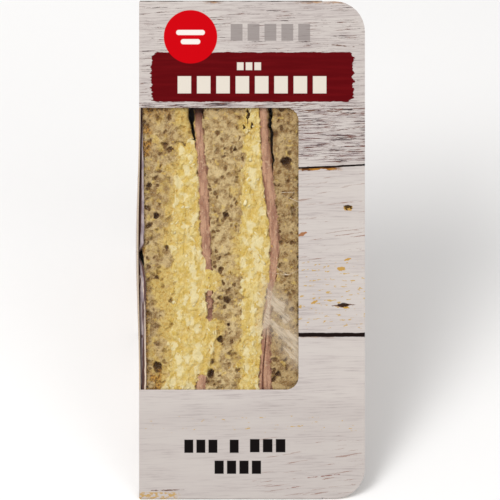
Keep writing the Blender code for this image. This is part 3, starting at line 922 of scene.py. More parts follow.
# %% Front, flange and flap
def front_panel():
    """The front board, in rays from its outline to the window's rim. The rim lies WINDOW_CORNER outside a
    smaller box, so a ray starts at the box's nearest point and its rim point is that far along it."""
    path_u = np.concatenate([foot_u, np.full(len(right_v), BODY_WIDTH), foot_u[::-1]])
    path_v = np.concatenate([0 * foot_u + ACUTE_FOLD, right_v, 0 * foot_u + FACE - ACUTE_FOLD])
    core_u = np.minimum(path_u, inner_corner)
    core_v = np.clip(path_v, low_corner, high_corner)
    away = np.hypot(path_u - core_u, path_v - core_v)
    rim_u = core_u + WINDOW_CORNER * (path_u - core_u) / away
    rim_v = core_v + WINDOW_CORNER * (path_v - core_v) / away
    u = path_u[:, None] * (1 - fractions) + rim_u[:, None] * fractions
    v = path_v[:, None] * (1 - fractions) + rim_v[:, None] * fractions
    return panel(u, v, 0, u, v, (0, 0, -1))


def flange_edge(v, right, low, high):
    """u of a plate's right edge with two round corners: right - R + √(R² - (how far v is into one)²)."""
    into = np.maximum(low + FLANGE_CORNER - v, v - high + FLANGE_CORNER)
    return right - FLANGE_CORNER + np.sqrt(np.clip(FLANGE_CORNER**2 - np.clip(into, 0, None) ** 2, 0, None))


def flange_panels():
    """The flange, and behind it the right side panel's flap, a little smaller, which it is glued to."""
    across = np.linspace(0, 1, 8)
    v = np.unique(np.concatenate([[FLANGE_END], right_v, [FACE - FLANGE_END]]))[:, None]
    u = BODY_WIDTH + across * (flange_edge(v, PANEL_WIDTH, FLANGE_END, FACE - FLANGE_END) - BODY_WIDTH)
    flange = panel(u, v, 0, u, v, (0, 0, -1))
    low, high, start = FLANGE_END + FLAP_INSET, FACE - FLANGE_END - FLAP_INSET, BODY_WIDTH - 2 * BOARD
    v = np.clip(v, low, high)
    u = start + across * (flange_edge(v, PANEL_WIDTH - FLAP_INSET, low, high) - start)
    return [flange, panel(u, v, 2 * BOARD, RIGHT_BLANK + BODY_WIDTH - u, v, (0, 0, 1))]


# %% Sides, base and back
def side_panels():
    """Both sides: triangles from the front's edge to the base and the back. The left one bows out."""
    far = np.minimum(side_v, FACE - side_v) - FOLD * math.sqrt(2)
    in_window = (side_v > WINDOW_BOTTOM) & (side_v < WINDOW_TOP)
    near = np.where(in_window, 0, FOLD)
    d = near + np.linspace(0, 1, 16) ** 1.5 * (far - near)
    left = panel(-bulge(side_v, d), side_v, d, -d, side_v, (-1, 0, 0))
    near = np.minimum(2 * BOARD - 0.0001, far)
    d = near + np.linspace(0, 1, 16) * (far - near)
    return left, panel(BODY_WIDTH, side_v, d, RIGHT_BLANK + d, side_v, (1, 0, 0))


def base_and_back():
    """The base, where d = v, and the back, where d = FACE - v."""
    base = panel(foot_u, base_v, base_v, foot_u, -base_v * math.sqrt(2), (0, -1, 1))
    back = panel(foot_u, back_v, FACE - back_v, foot_u, FACE + (FACE - back_v) * math.sqrt(2), (0, 1, 1))
    return base, back


# %% All folds
def fold_strips(front, left, right, base, back):
    """A strip round each fold, from the grids of the panels that it joins."""
    n, steps = len(foot_u), len(fractions)
    low_line, high_line = line(0, base_v[:, 0], base_v[:, 0]), line(0, back_v[:, 0], FACE - back_v[:, 0])
    across = np.array([BODY_WIDTH, 0, 0])
    return {
        "front_left_low": fold_strip(front[0], left[:steps, 0], line(0, lower, 0), (-1, 0, -1)),
        "front_left_high": fold_strip(front[-1][::-1], left[-steps:, 0], line(0, upper, 0), (-1, 0, -1)),
        "foot": fold_strip(front[:n, 0], base[0], line(foot_u, 0, 0), (0, -1, 0)),
        "head": fold_strip(front[-n:, 0][::-1], back[-1], line(foot_u, FACE, 0), (0, 1, 0)),
        "heel": fold_strip(base[-1], back[0], line(foot_u, HEEL, HEEL), (0, 0, 1)),
        "left_base": fold_strip(left[low_side, -1], base[:, 0], low_line, (-1, -1, 1)),
        "left_back": fold_strip(left[high_side, -1], back[:, 0], high_line, (-1, 1, 1)),
        "right_base": fold_strip(right[low_side, -1], base[:, -1], low_line + across, (1, -1, 1)),
        "right_back": fold_strip(right[high_side, -1], back[:, -1], high_line + across, (1, 1, 1)),
    }


def corner_patches(strips):
    """The four corners where three folds meet. The two on the right of the front are open, as the flange
    runs past them."""
    ends = {name: (grid[0], grid[-1]) for name, (grid, _) in strips.items()}
    return [
        corner_patch([ends["front_left_low"][0], ends["left_base"][0], ends["foot"][0][::-1]], (-1, -1, 0)),
        corner_patch([ends["front_left_high"][1], ends["left_back"][1], ends["head"][0][::-1]], (-1, 1, 0)),
        corner_patch([ends["left_base"][1], ends["heel"][0], ends["left_back"][0][::-1]], (-1, 0, 1)),
        corner_patch([ends["right_base"][1], ends["heel"][1], ends["right_back"][0][::-1]], (1, 0, 1)),
    ]


# %% [markdown]
# All grids are joined into one mesh, each turned to face its own way. Smooth shading would smear the light
# of a narrow fold over the large panels beside it, so faces square to a panel are shaded flat.

# %% The blank, folded
LEVEL = 0.9999  # a face whose normal is this near a panel's own is flat


def carton_panels():
    """All the carton's panels, strips and corners."""
    front, (left, right), (base, back) = front_panel(), side_panels(), base_and_back()
    strips = fold_strips(*(grid for grid, _ in (front, left, right, base, back)))
    return [front, *flange_panels(), left, right, base, back, *strips.values(), *corner_patches(strips)]


def make_carton():
    """Joins the panels, and keeps the blank coordinates as the UV map."""
    points, flats, quads, start = [], [], [], 0
    for grid, facing in carton_panels():
        one = quads_of(*grid.shape[:2])
        grid = grid.reshape(-1, 5)
        a, b, c, d = (grid[one[:, k], :3] for k in range(4))
        if np.cross(c - a, d - b).sum(axis=0) @ facing < 0:
            one = one[:, ::-1]
        points.append(grid[:, :3])
        flats.append(grid[:, 3:])
        quads.append(one + start)
        start += len(grid)
    points, flats, quads = (np.concatenate(parts) for parts in (points, flats, quads))
    # Panel coordinates are left-handed in the world, so each quad's corners are taken in reverse.
    made = build("carton_card", place(*points.T), quads[:, ::-1], solid=False, merge=2e-6, flat=flats)
    normals = np.empty(len(made.data.polygons) * 3)
    made.data.polygons.foreach_get("normal", normals)
    normals = np.abs(normals.reshape(-1, 3))
    square_on = np.maximum(normals.max(axis=1), (normals[:, 1] + normals[:, 2]) * HALF_TURN)
    made.data.polygons.foreach_set("use_smooth", square_on < LEVEL)
    return made


# %% [markdown]
# ## Writing a finish as a sum
#
# A material is a graph of small nodes. To keep it readable, the class below writes it as sums: each method
# adds one node and hands back its output, so that a finish reads like the formula it stands for.

# %% A small language for nodes
def linear(*colour):
    """A colour seen on screen, 0 to 255, as the linear light that shaders work with."""
    share = [c / 255 for c in colour]
    return [c / 12.92 if c <= 0.04045 else ((c + 0.055) / 1.055) ** 2.4 for c in share] + [1.0]


class Finish:
    """One material and its nodes. Values are numbers, colours or other nodes' outputs."""

    def __init__(self, name, roughness=0.5, specular=0.5):
        self.material = bpy.data.materials.new(name)
        self.material.use_nodes = True
        self.tree = self.material.node_tree
        self.shader = self.tree.nodes["Principled BSDF"]
        self.shader.inputs["Roughness"].default_value = roughness
        self.shader.inputs["Specular IOR Level"].default_value = specular

    def feed(self, socket, value):
        """Links an output to a socket, or sets the socket to a number or colour."""
        if isinstance(value, bpy.types.NodeSocket):
            self.tree.links.new(value, socket)
        else:
            socket.default_value = value

    def node(self, kind, inputs=(), **settings):
        made = self.tree.nodes.new("ShaderNode" + kind)
        for key, value in settings.items():
            setattr(made, key, value)
        for key, value in dict(inputs).items():
            self.feed(made.inputs[key], value)
        return made

    def maths(self, operation, *values, clamp=False):
        made = self.node("Math", enumerate(values), operation=operation, use_clamp=clamp)
        return made.outputs[0]

    def plus(self, a, b):
        return self.maths("ADD", a, b)

    def minus(self, a, b):
        return self.maths("SUBTRACT", a, b)

    def times(self, a, b):
        return self.maths("MULTIPLY", a, b)

    def most(self, *values):
        """The largest of several masks."""
        total = values[0]
        for value in values[1:]:
            total = self.maths("MAXIMUM", total, value)
        return total

    def least(self, a, b):
        return self.maths("MINIMUM", a, b)

    def ramp(self, value, low, high, start=0.0, end=1.0):
        """From start at low to end at high, smoothly, and level beyond."""
        inputs = {"Value": value, "From Min": low, "From Max": high, "To Min": start, "To Max": end}
        return self.node("MapRange", inputs, interpolation_type="SMOOTHSTEP").outputs[0]

    def blend(self, first, second, share):
        """first where share is 0 and second where it is 1."""
        made = self.node("Mix", data_type="RGBA")
        for key, value in (("Factor_Float", share), ("A_Color", first), ("B_Color", second)):
            socket = next(s for s in made.inputs if s.identifier == key)
            self.feed(socket, value)
        return next(s for s in made.outputs if s.identifier == "Result_Color")

    def coats(self, base, *layers):
        """Lays colours over a base one after another, each with its share."""
        for colour, share in layers:
            base = self.blend(base, colour, share)
        return base

    def point(self, x, y, z=0.0):
        return self.node("CombineXYZ", {"X": x, "Y": y, "Z": z}).outputs[0]

    def noise(self, here, scale=1.0, detail=2.0, roughness=0.5):
        """Soft noise, mostly between 0.3 and 0.7, with bumps of 1/scale."""
        inputs = {"Vector": here, "Scale": scale, "Detail": detail, "Roughness": roughness}
        return self.node("TexNoise", inputs).outputs[0]

    def attribute(self, name):
        return self.node("Attribute", attribute_name=name).outputs["Fac"]

    def object_place(self):
        return self.node("TexCoord").outputs["Object"]

    def bump(self, height, distance, strength=1.0):
        inputs = {"Height": height, "Distance": distance, "Strength": strength}
        self.feed(self.shader.inputs["Normal"], self.node("Bump", inputs).outputs[0])

    def colour(self, value):
        self.feed(self.shader.inputs["Base Color"], value)


# %% [markdown]
# ## One finish for the cut face
#
# Bread is matt: its bubble walls are pale, their bottoms painted brown as shade, and egg turns it yellow. The
# left slice is also painted with shade by its left edge. Egg is moist, with pale chips, and painted shade in
# gold in its creases. Ham is a dull mauve-brown with whitish flecks, and painted shade in its trench, along
# its edges and on its leaning top. The shares of egg and ham that each point carries choose between the
# three, so a ragged border costs no extra geometry.

# %% Food colours
def crumb_colours(cut, fine, speckle):
    """The bread's colour, with painted shade in its pores and by the left slice's edge. Each slice has its
    own tone.
    """
    tone, pore_shade = cut.attribute("tone"), cut.attribute("pore_shade")
    broad = cut.noise(cut.object_place(), 420.0, 4.0, 0.65)
    walls = cut.blend(linear(190, 162, 114), linear(218, 194, 144), tone)
    shade = cut.blend(linear(146, 113, 69), linear(172, 142, 94), tone)
    deep = cut.blend(linear(104, 73, 42), linear(120, 87, 50), tone)
    gold = cut.blend(linear(222, 196, 118), linear(206, 164, 72), cut.ramp(fine, 0.42, 0.66))
    brown = cut.blend(linear(196, 144, 60), linear(84, 48, 20), cut.ramp(fine, 0.42, 0.62))
    return cut.coats(
        cut.blend(shade, walls, cut.ramp(broad, 0.40, 0.58)),
        (deep, cut.ramp(fine, 0.50, 0.70, 0.0, 0.5)),
        (linear(222, 204, 164), cut.ramp(speckle, 0.52, 0.70, 0.0, 0.4)),
        # Painted shade: pores darken to brown, and the deepest to near black.
        (deep, cut.ramp(pore_shade, 0.05, 0.50, 0.0, 0.9)),
        (linear(66, 42, 24), cut.ramp(pore_shade, 0.55, 1.0, 0.0, 0.9)),
        (gold, cut.times(cut.attribute("stain"), cut.ramp(pore_shade, 0.2, 0.8, 0.85, 0.05))),
        # Brown for the crust and toasted crumb, and for painted shade by the left slice's edge.
        (brown, cut.most(cut.times(cut.attribute("toast_and_shade"), 0.85), cut.attribute("crust"))),
    )


def egg_colours(cut, fine, speckle):
    broad = cut.noise(cut.object_place(), 460.0, 3.0, 0.6)
    return cut.coats(
        cut.blend(linear(218, 188, 98), linear(231, 211, 146), cut.ramp(broad, 0.38, 0.62)),
        (linear(240, 226, 176), cut.ramp(speckle, 0.52, 0.68, 0.0, 0.45)),
        (linear(212, 178, 84), cut.ramp(fine, 0.50, 0.66, 0.0, 0.5)),
        # Painted shade in the creases, in gold.
        (linear(196, 154, 62), cut.times(cut.attribute("crease_shade"), 0.62)),
        (linear(238, 226, 184), cut.times(cut.attribute("chip"), 0.6)),
    )


def ham_colours(cut, fine, speckle):
    squeezed = cut.node("Mapping", {"Vector": cut.object_place(), "Scale": (900, 160, 160)}).outputs[0]
    streaks = cut.noise(squeezed, 1.0, 3.0)
    return cut.coats(
        cut.blend(linear(164, 118, 94), linear(198, 153, 123), cut.ramp(streaks, 0.38, 0.62)),
        (linear(132, 88, 70), cut.ramp(fine, 0.52, 0.70, 0.0, 0.6)),
        (linear(220, 190, 156), cut.most(cut.times(cut.attribute("fat"), 0.6),
                                         cut.ramp(speckle, 0.56, 0.70, 0.0, 0.6))),
        # Painted shade in the trench between the leaves, along the ham's edges and on its leaning top.
        (linear(104, 58, 46), cut.times(cut.attribute("trench_and_shade"), 0.85)),
    )


def cut_finish():
    cut = Finish("sandwich_cut", specular=0.25)
    here = cut.object_place()
    fine, speckle = cut.noise(here, 1200.0, 4.0, 0.7), cut.noise(here, 1900.0, 3.0, 0.7)
    bread = crumb_colours(cut, fine, speckle)
    colour = cut.blend(bread, ham_colours(cut, fine, speckle), cut.attribute("ham"))
    cut.colour(cut.blend(colour, egg_colours(cut, fine, speckle), cut.attribute("egg")))
    moist = cut.most(cut.attribute("egg"), cut.attribute("ham"))
    cut.feed(cut.shader.inputs["Roughness"], cut.ramp(moist, 0.0, 1.0, 0.85, 0.48))
    cut.bump(cut.plus(fine, cut.times(speckle, 0.6)), 0.00025, 0.5)
    return cut.material


def bits_finish(name, pale, deep):
    """Chips and crumbs: each bit's own tone between two colours."""
    bits = Finish(name, roughness=0.6)
    fine = bits.noise(bits.object_place(), 1200.0, 3.0)
    tone = bits.plus(bits.times(bits.attribute("tone"), 0.8), bits.times(bits.minus(fine, 0.5), 0.8))
    bits.colour(bits.blend(pale, deep, tone))
    bits.bump(fine, 0.0001, 0.3)
    return bits.material


def dress(made, slot, *materials):
    """Gives a piece its finishes in place of any it has. The slot argument is not used."""
    made.data.materials.clear()
    for material in materials:
        made.data.materials.append(material)


cut_material = cut_finish()
for made, slot in (
    (bread_left, "bread_crumb"), (bread_middle, "bread_crumb"), (bread_right, "bread_crumb"),
    (egg_left, "egg_mayonnaise"), (egg_right, "egg_mayonnaise"),
    (ham_left, "ham_slice"), (ham_right, "ham_slice"),
):
    dress(made, slot, cut_material)
white = bits_finish("egg_white", linear(238, 226, 182), linear(222, 198, 132))
yolk = bits_finish("yolk", linear(230, 194, 98), linear(204, 156, 54))
dress(egg_shreds, "egg_mayonnaise", white)
dress(yolk_crumbs, "egg_mayonnaise", yolk)
print("food finishes:", ", ".join(one.name for one in (cut_material, white, yolk)))

# %% [markdown]
# ## Clear film finish
#
# Thin film bends light so little that plain transparency stands for it. Over that lies a weak gloss, which
# Fresnel makes stronger at a slant, and a milky coat along the marks, which is painted light: painted
# reflection on the pleats and their creased edges, painted shade in the dark band between them, and painted
# glare over the cling smears. Each mark is a distance, so a ramp at its edge stays crisp however coarse the
# sheet is. Cling marks stay half clear, with a painted highlight at their rim.

# %% Film
def film_finish():
    sheet = Finish("clear_film")
    here = sheet.object_place()
    fine = sheet.noise(here, 900.0, 3.0)
    broad = sheet.noise(here, 330.0, 3.0)
    rough_edge = sheet.times(sheet.minus(fine, 0.5), 0.5)

    def near(name, low, high):
        return sheet.ramp(sheet.plus(sheet.attribute(name), rough_edge), high, low)

    # The cling mark is a smear where the film touches the bread, with painted glare over it: dragged streaks,
    # a faint halo and a painted highlight at its rim.
    cling = sheet.attribute("cling")
    across, _, up = (sheet.node("SeparateXYZ", {0: here}).outputs[k] for k in range(3))
    slope = sheet.times(up, math.sqrt(2))
    fine_way = sheet.times(sheet.plus(across, slope), 800.0)
    long_way = sheet.times(sheet.minus(across, slope), 130.0)
    dragged = sheet.noise(sheet.point(fine_way, long_way), 1.0, 3.0, 0.6)
    middle = sheet.times(near("cling", -0.7, 0.3), sheet.ramp(dragged, 0.30, 0.70, 0.26, 0.60))
    rim = sheet.times(sheet.ramp(sheet.maths("ABSOLUTE", sheet.plus(cling, 0.25)), 0.35, 0.0), 0.32)
    haze = sheet.times(near("cling", 0.0, 4.0), 0.15)
    streak = sheet.ramp(sheet.attribute("streak"), 0.14, 0.0, 0.0, sheet.ramp(broad, 0.4, 0.6, 0.1, 0.6))
    # Painted light on the crumpled band: dark for the painted shade of the gap behind the film, mauve pleats
    # for their painted reflection, and cream edges and loop for painted highlights.
    crumple_sheen_and_shade = sheet.ramp(sheet.attribute("band"), 0.12, -0.12, 0.0, 0.94)
    pleat_sheen = sheet.ramp(sheet.attribute("pleat_sheen"), 0.10, -0.10)
    loop_sheen = sheet.ramp(sheet.attribute("loop_sheen"), 0.10, -0.08)
    mauve_sheen = sheet.blend(linear(150, 136, 142), linear(186, 172, 172), sheet.ramp(broad, 0.35, 0.65))
    colour = sheet.blend(linear(98, 72, 66), mauve_sheen, pleat_sheen)
    colour = sheet.blend(linear(232, 215, 190), colour, sheet.ramp(crumple_sheen_and_shade, 0.05, 0.5))
    colour = sheet.blend(colour, linear(226, 206, 184), loop_sheen)
    cover = sheet.most(middle, rim, haze, streak, crumple_sheen_and_shade, sheet.times(loop_sheen, 0.95))
    # The milky coat is painted light: painted reflection, painted shade and painted glare on the film.
    milky_sheen_and_shade = sheet.node("BsdfDiffuse", {"Color": colour}).outputs[0]
    clear = sheet.node("BsdfTransparent").outputs[0]
    gloss = sheet.node("BsdfGlossy").outputs[0]
    gloss.node.inputs["Roughness"].default_value = 0.12
    slant = sheet.node("Fresnel").outputs[0]
    slant.node.inputs["IOR"].default_value = 1.18
    pane = sheet.node("MixShader", {0: slant, 1: clear, 2: gloss}).outputs[0]
    whole = sheet.node("MixShader", {0: cover, 1: pane, 2: milky_sheen_and_shade}).outputs[0]
    output = next(n for n in sheet.tree.nodes if n.type == "OUTPUT_MATERIAL")
    sheet.tree.nodes.remove(sheet.shader)
    sheet.tree.links.new(whole, output.inputs["Surface"])
    return sheet.material


dress(film, "clear_film", film_finish())

# %% [markdown]
# ## The print on the card
#
# The carton is printed with whitewashed boards, a dark red brushed band, a red seal and rows of plain
# blocks. Each is a mask over the flat blank: a distance to a shape, roughened with noise, and a ramp at its
# edge. Distances are in millimetres, so every number below can be read as a size or a place on the blank.

# %% Drawing on the flat blank
class Print(Finish):
    """A finish drawn in millimetres on the flat blank."""

    def __init__(self, name):
        super().__init__(name, roughness=0.6, specular=0.04)
        blank = self.node("SeparateXYZ", {0: self.node("UVMap", uv_map="blank").outputs[0]})
        self.u, self.v = (self.times(blank.outputs[k], 1000.0) for k in (0, 1))

    def stretched(self, along, across, slant=0.0, shift=0.0, detail=2.0, roughness=0.55):
        """Noise whose bumps are along mm by across mm, climbing slant mm a mm."""
        level = self.minus(self.v, self.times(self.u, slant)) if slant else self.v
        here = self.point(self.times(self.u, 1 / along), self.times(level, 1 / across), shift)
        return self.noise(here, 1.0, detail, roughness)

    def wave(self, *sizes, **settings):
        """The same noise, from about -0.2 to 0.2."""
        return self.minus(self.stretched(*sizes, **settings), 0.5)

    def size(self, value):
        """The value without its sign."""
        return self.maths("ABSOLUTE", value)

    def length(self, across, up):
        """√(across² + up²)."""
        return self.maths("SQRT", self.plus(self.times(across, across), self.times(up, up)))

    def within(self, axis, low, high, fade):
        """1 between low and high, and 0 a fade beyond them."""
        return self.times(self.ramp(axis, low - fade, low), self.ramp(axis, high + fade, high))

    def box(self, middle, half, corner):
        """Distance to a rounded box: the length of the outside part of |p - middle| - half, with the corner
        radius taken off, or the nearer side's distance when inside."""
        gaps = [self.minus(self.size(self.minus(axis, centre)), reach - corner)
                for axis, centre, reach in ((self.u, middle[0], half[0]), (self.v, middle[1], half[1]))]
        outside = self.length(*(self.maths("MAXIMUM", gap, 0.0) for gap in gaps))
        return self.minus(self.plus(outside, self.least(self.most(*gaps), 0.0)), corner)

    def stroke(self, start, end, half, taper):
        """Mask of a hand-drawn line from start to end, half mm wide each way, less taper mm at its ends."""
        along = (end[0] - start[0], end[1] - start[1])
        from_start = (self.minus(self.u, start[0]), self.minus(self.v, start[1]))
        down = self.plus(*(self.times(gap, step) for gap, step in zip(from_start, along)))
        t = self.maths("DIVIDE", down, along[0] ** 2 + along[1] ** 2, clamp=True)
        away = self.length(*(self.minus(gap, self.times(t, step)) for gap, step in zip(from_start, along)))
        away = self.plus(away, self.times(self.wave(1.1, 0.6, shift=start[0], detail=3.0), 0.9))
        if taper:
            away = self.plus(away, self.times(self.size(self.minus(t, 0.5)), 2 * taper))
        return self.ramp(away, half + 0.12, half - 0.12)

    def ink(self, under, colour, distance, cover=1.0):
        """Lays a colour over another wherever a distance is below zero."""
        return self.blend(under, colour, self.ramp(distance, 0.10, -0.10, 0.0, cover))


# %% [markdown]
# Grain and cracks are noise stretched far along the boards. A crack opens where its noise passes a level,
# and that level drops where the wood is weathered: beside the window's top, and less so above it.

# %% Whitewashed boards
def grain(card, weathered, upper):
    """Pale wood with darker grain, painted shade towards the foot, and grey fibres where it is weathered."""
    fine = card.stretched(13.0, 0.5, slant=0.02, detail=5.0, roughness=0.70)
    broad = card.stretched(34.0, 7.0, shift=4.0, detail=3.0)
    fibres = card.stretched(11.0, 0.42, slant=0.015, shift=9.0, detail=5.0, roughness=0.74)
    bare = card.most(card.times(weathered, 0.85), card.times(upper, 0.34))
    return card.coats(
        linear(200, 191, 186),
        (linear(160, 148, 146), card.ramp(fine, 0.47, 0.70, 0.0, 0.8)),
        (linear(206, 198, 192), card.ramp(broad, 0.42, 0.62, 0.0, 0.7)),
        # Painted shade: the board is darkened towards its foot, as if less lit there.
        (linear(176, 167, 163), card.times(card.within(card.v, -6.0, 30.0, 8.0), 0.25)),
        (linear(114, 92, 94), card.times(card.ramp(fibres, 0.49, 0.60), bare)),
    )


def opened(card, noise, zone, closed_at, open_at, soft):
    """Mask of where noise passes a level that falls from closed_at to open_at inside a zone."""
    return card.ramp(card.minus(noise, card.ramp(zone, 0.0, 1.0, closed_at, open_at)), 0.0, soft)


def crack_masks(card, weathered, upper):
    """Dark cracks, paler slanting ones low on the right and beside the window, and flecks of bare wood."""
    cracks = card.stretched(11.0, 0.62, slant=0.04, shift=21.0, detail=5.0, roughness=0.76)
    crack = opened(card, cracks, card.most(weathered, card.times(upper, 0.68)), 0.76, 0.533, 0.012)
    low_right = card.times(card.within(card.v, 2.0, 21.0, 3.0), card.ramp(card.u, 30.0, 46.0))
    beside = card.times(card.within(card.v, 84.0, 114.0, 4.0), 0.9)
    slanting = card.stretched(17.0, 0.8, slant=0.13, shift=33.0, detail=5.0, roughness=0.72)
    slanted = opened(card, slanting, card.most(low_right, beside), 0.80, 0.60, 0.02)
    specks = card.stretched(2.6, 0.9, slant=0.05, shift=45.0)
    worn = card.most(card.within(card.v, 61.0, 82.0, 4.0),
                     card.times(card.within(card.v, 24.0, 28.5, 2.0), 0.7))
    return crack, slanted, opened(card, specks, worn, 0.80, 0.615, 0.03)


# %% [markdown]
# Planks repeat every 58.2 mm up the blank, so one wrapped coordinate draws every gap between two of them.
# The gap is a dark line of uneven width, and in places the wood beneath it is burnt gold.

# %% Gaps between the planks
PLANK_GAP, PLANK = 57.4, 58.2  # mm up the blank to the first gap, and from one gap to the next


def plank_gaps(card, wood):
    """The wood with its gaps, and their mask. The distance to a gap is |v wrapped to ± half a plank|."""
    level = card.maths("WRAP", card.minus(card.v, PLANK_GAP), 0.5 * PLANK, -0.5 * PLANK)
    climbing = card.times(card.times(card.minus(card.u, 60.0), 0.05), card.within(card.v, 104.0, 128.0, 8.0))
    off = card.plus(card.minus(level, climbing), card.times(card.wave(9.0, 4.0, shift=70.0), 0.5))
    ragged = card.wave(2.4, 1.2, shift=61.0, detail=3.0)
    fringe = card.minus(card.plus(card.size(card.plus(off, 0.5)), card.times(ragged, 2.6)), 0.62)
    towards_left = card.times(card.ramp(card.u, 78.0, 55.0, -0.1, 0.1), card.ramp(card.v, 160.0, 150.0))
    patches = card.ramp(card.plus(card.stretched(24.0, 30.0, shift=81.0), towards_left), 0.46, 0.60)
    mottle = card.ramp(card.stretched(3.0, 0.8, shift=87.0), 0.4, 0.6)
    burnt = card.blend(linear(176, 122, 48), linear(104, 62, 30), mottle)
    wood = card.blend(wood, burnt, card.times(card.ramp(fringe, 0.15, -0.25), patches))
    half_width = card.ramp(card.size(card.minus(card.v, 57.0)), 12.0, 30.0, 0.72, 0.34)
    from_gap = card.plus(card.minus(card.size(off), half_width), card.times(ragged, 0.39))
    gap = card.ramp(from_gap, 0.12, -0.12)
    return card.blend(wood, linear(26, 15, 13), gap), gap


def boards(card):
    """The whitewashed boards' colour, and how deep the cracks and gaps are."""
    weathered, upper = card.within(card.v, 119.0, 137.0, 4.0), card.within(card.v, 118.0, 172.0, 2.0)
    crack, slanted, fleck = crack_masks(card, weathered, upper)
    rust = card.ramp(card.stretched(4.0, 1.5, shift=27.0), 0.4, 0.6)
    wood = card.coats(
        grain(card, weathered, upper),
        (card.blend(linear(54, 34, 36), linear(104, 60, 46), rust), card.times(crack, 0.92)),
        (linear(140, 100, 84), card.times(slanted, 0.8)),
        (linear(192, 152, 62), card.times(fleck, 0.8)),
    )
    wood, gap = plank_gaps(card, wood)
    return wood, card.most(gap, card.times(crack, 0.5))


# %% Knots and worn marks
GOLD, DARK, BROWN, RUST = linear(190, 144, 52), linear(38, 22, 14), linear(96, 58, 34), linear(132, 84, 72)
MARKS = (  # start, end, half width and taper in mm, and colour
    ((72.0, 101.5), (73.4, 101.5), 0.85, 0.0, GOLD), ((71.3, 102.1), (73.9, 102.0), 0.60, 0.4, DARK),
    ((71.6, 101.6), (72.4, 100.8), 0.22, 0.1, DARK), ((73.4, 101.8), (74.2, 101.3), 0.30, 0.2, DARK),
    ((66.4, 67.4), (75.6, 67.9), 0.75, 0.9, BROWN), ((69.6, 67.8), (72.4, 67.8), 0.75, 0.3, DARK),
    ((71.2, 66.7), (73.0, 66.8), 0.35, 0.2, GOLD), ((69.6, 80.4), (71.2, 80.4), 0.75, 0.2, GOLD),
    ((71.6, 83.4), (73.6, 83.9), 0.40, 0.2, GOLD), ((60.2, 68.4), (61.8, 69.2), 0.50, 0.2, GOLD),
    ((55.6, 92.0), (58.0, 92.9), 0.65, 0.3, linear(158, 98, 46)),
    ((55.4, 135.3), (63.4, 135.6), 0.30, 0.2, BROWN), ((64.4, 135.3), (70.6, 135.0), 0.25, 0.2, BROWN),
    ((4.2, 3.2), (15.6, 3.5), 0.22, 0.2, BROWN), ((63.4, 158.6), (75.0, 157.6), 0.18, 0.2, BROWN),
    ((58.6, 7.6), (70.2, 8.9), 0.16, 0.2, RUST), ((50.6, 3.8), (58.4, 5.0), 0.16, 0.2, RUST),
)


def marked(card, wood):
    """The boards with knots and single marks, and the paint worn to bare wood at the left end of the foot."""
    for start, end, half, taper, colour in MARKS:
        wood = card.blend(wood, colour, card.times(card.stroke(start, end, half, taper), 0.9))
    worn = card.times(card.within(card.v, -1.0, 2.2, 0.8), card.ramp(card.u, 15.0, 12.0))
    mottled = card.ramp(card.stretched(1.6, 1.0, shift=93.0, detail=3.0), 0.44, 0.56)
    return card.blend(wood, linear(188, 148, 74), card.times(card.times(worn, mottled), 0.85))


# %% [markdown]
# The lettering and the tag of a real pack aren't copied. Where they would be stand rows of plain blocks,
# in the sizes that a designer's dummy would have, and a round seal with two bars.

# %% Band, seal and blocks
CREAM, GREY, INK = linear(222, 213, 200), linear(146, 137, 134), linear(18, 14, 14)
BLOCK_ROWS = (  # left, right, bottom, top, how many, the share of the pitch between two, colour and cover
    (12.4, 66.2, 141.4, 147.4, 8, 0.30, CREAM, 1.0), (33.7, 42.8, 149.5, 152.2, 3, 0.24, CREAM, 1.0),
    (31.0, 60.4, 159.7, 165.6, 5, 0.30, GREY, 0.85), (15.2, 27.8, 16.3, 20.9, 3, 0.26, INK, 1.0),
    (31.0, 35.2, 16.3, 20.9, 1, 0.26, INK, 1.0), (38.0, 51.5, 16.5, 21.1, 3, 0.26, INK, 1.0),
    (25.7, 43.0, 9.0, 13.6, 4, 0.26, INK, 1.0),
)
BAND_MIDDLE, BAND_HALF, BAND_CORNER = (39.4, 147.1), (35.2, 8.6), 2.2
SEAL_MIDDLE, SEAL_RADIUS = (17.9, 161.1), 9.3
SEAL_BARS = ((162.6, 5.0), (159.4, 3.4))  # height and half length
BAR_HALF = 0.9


def blocks(card, left, right, bottom, top, count, slot):
    """Distance to a row of upright blocks. The place within one pitch is the same for every block, so one
    box serves the whole row."""
    pitch = (right - left) / count
    turn = card.maths("FRACT", card.maths("DIVIDE", card.minus(card.u, left), pitch))
    across = card.minus(card.size(card.times(card.minus(turn, 0.5), pitch)), 0.5 * pitch * (1 - slot))
    up = card.minus(card.size(card.minus(card.v, 0.5 * (bottom + top))), 0.5 * (top - bottom))
    ends = card.minus(card.size(card.minus(card.u, 0.5 * (left + right))), 0.5 * (right - left))
    return card.most(across, up, ends)


def brushed_band(card):
    """Distance to a band of paint: a rounded box, less sure of itself where bristles left streaks."""
    streaks = card.wave(7.0, 0.9, shift=111.0, detail=3.0)
    wander = card.wave(4.0, 2.0, shift=121.0, detail=4.0, roughness=0.65)
    from_middle = card.size(card.minus(card.u, BAND_MIDDLE[0]))
    at_end = card.ramp(from_middle, BAND_HALF[0] - 3.0, BAND_HALF[0])
    rough_edge = card.plus(card.times(wander, 1.3), card.times(card.times(streaks, at_end), 3.4))
    return card.plus(card.box(BAND_MIDDLE, BAND_HALF, BAND_CORNER), rough_edge)


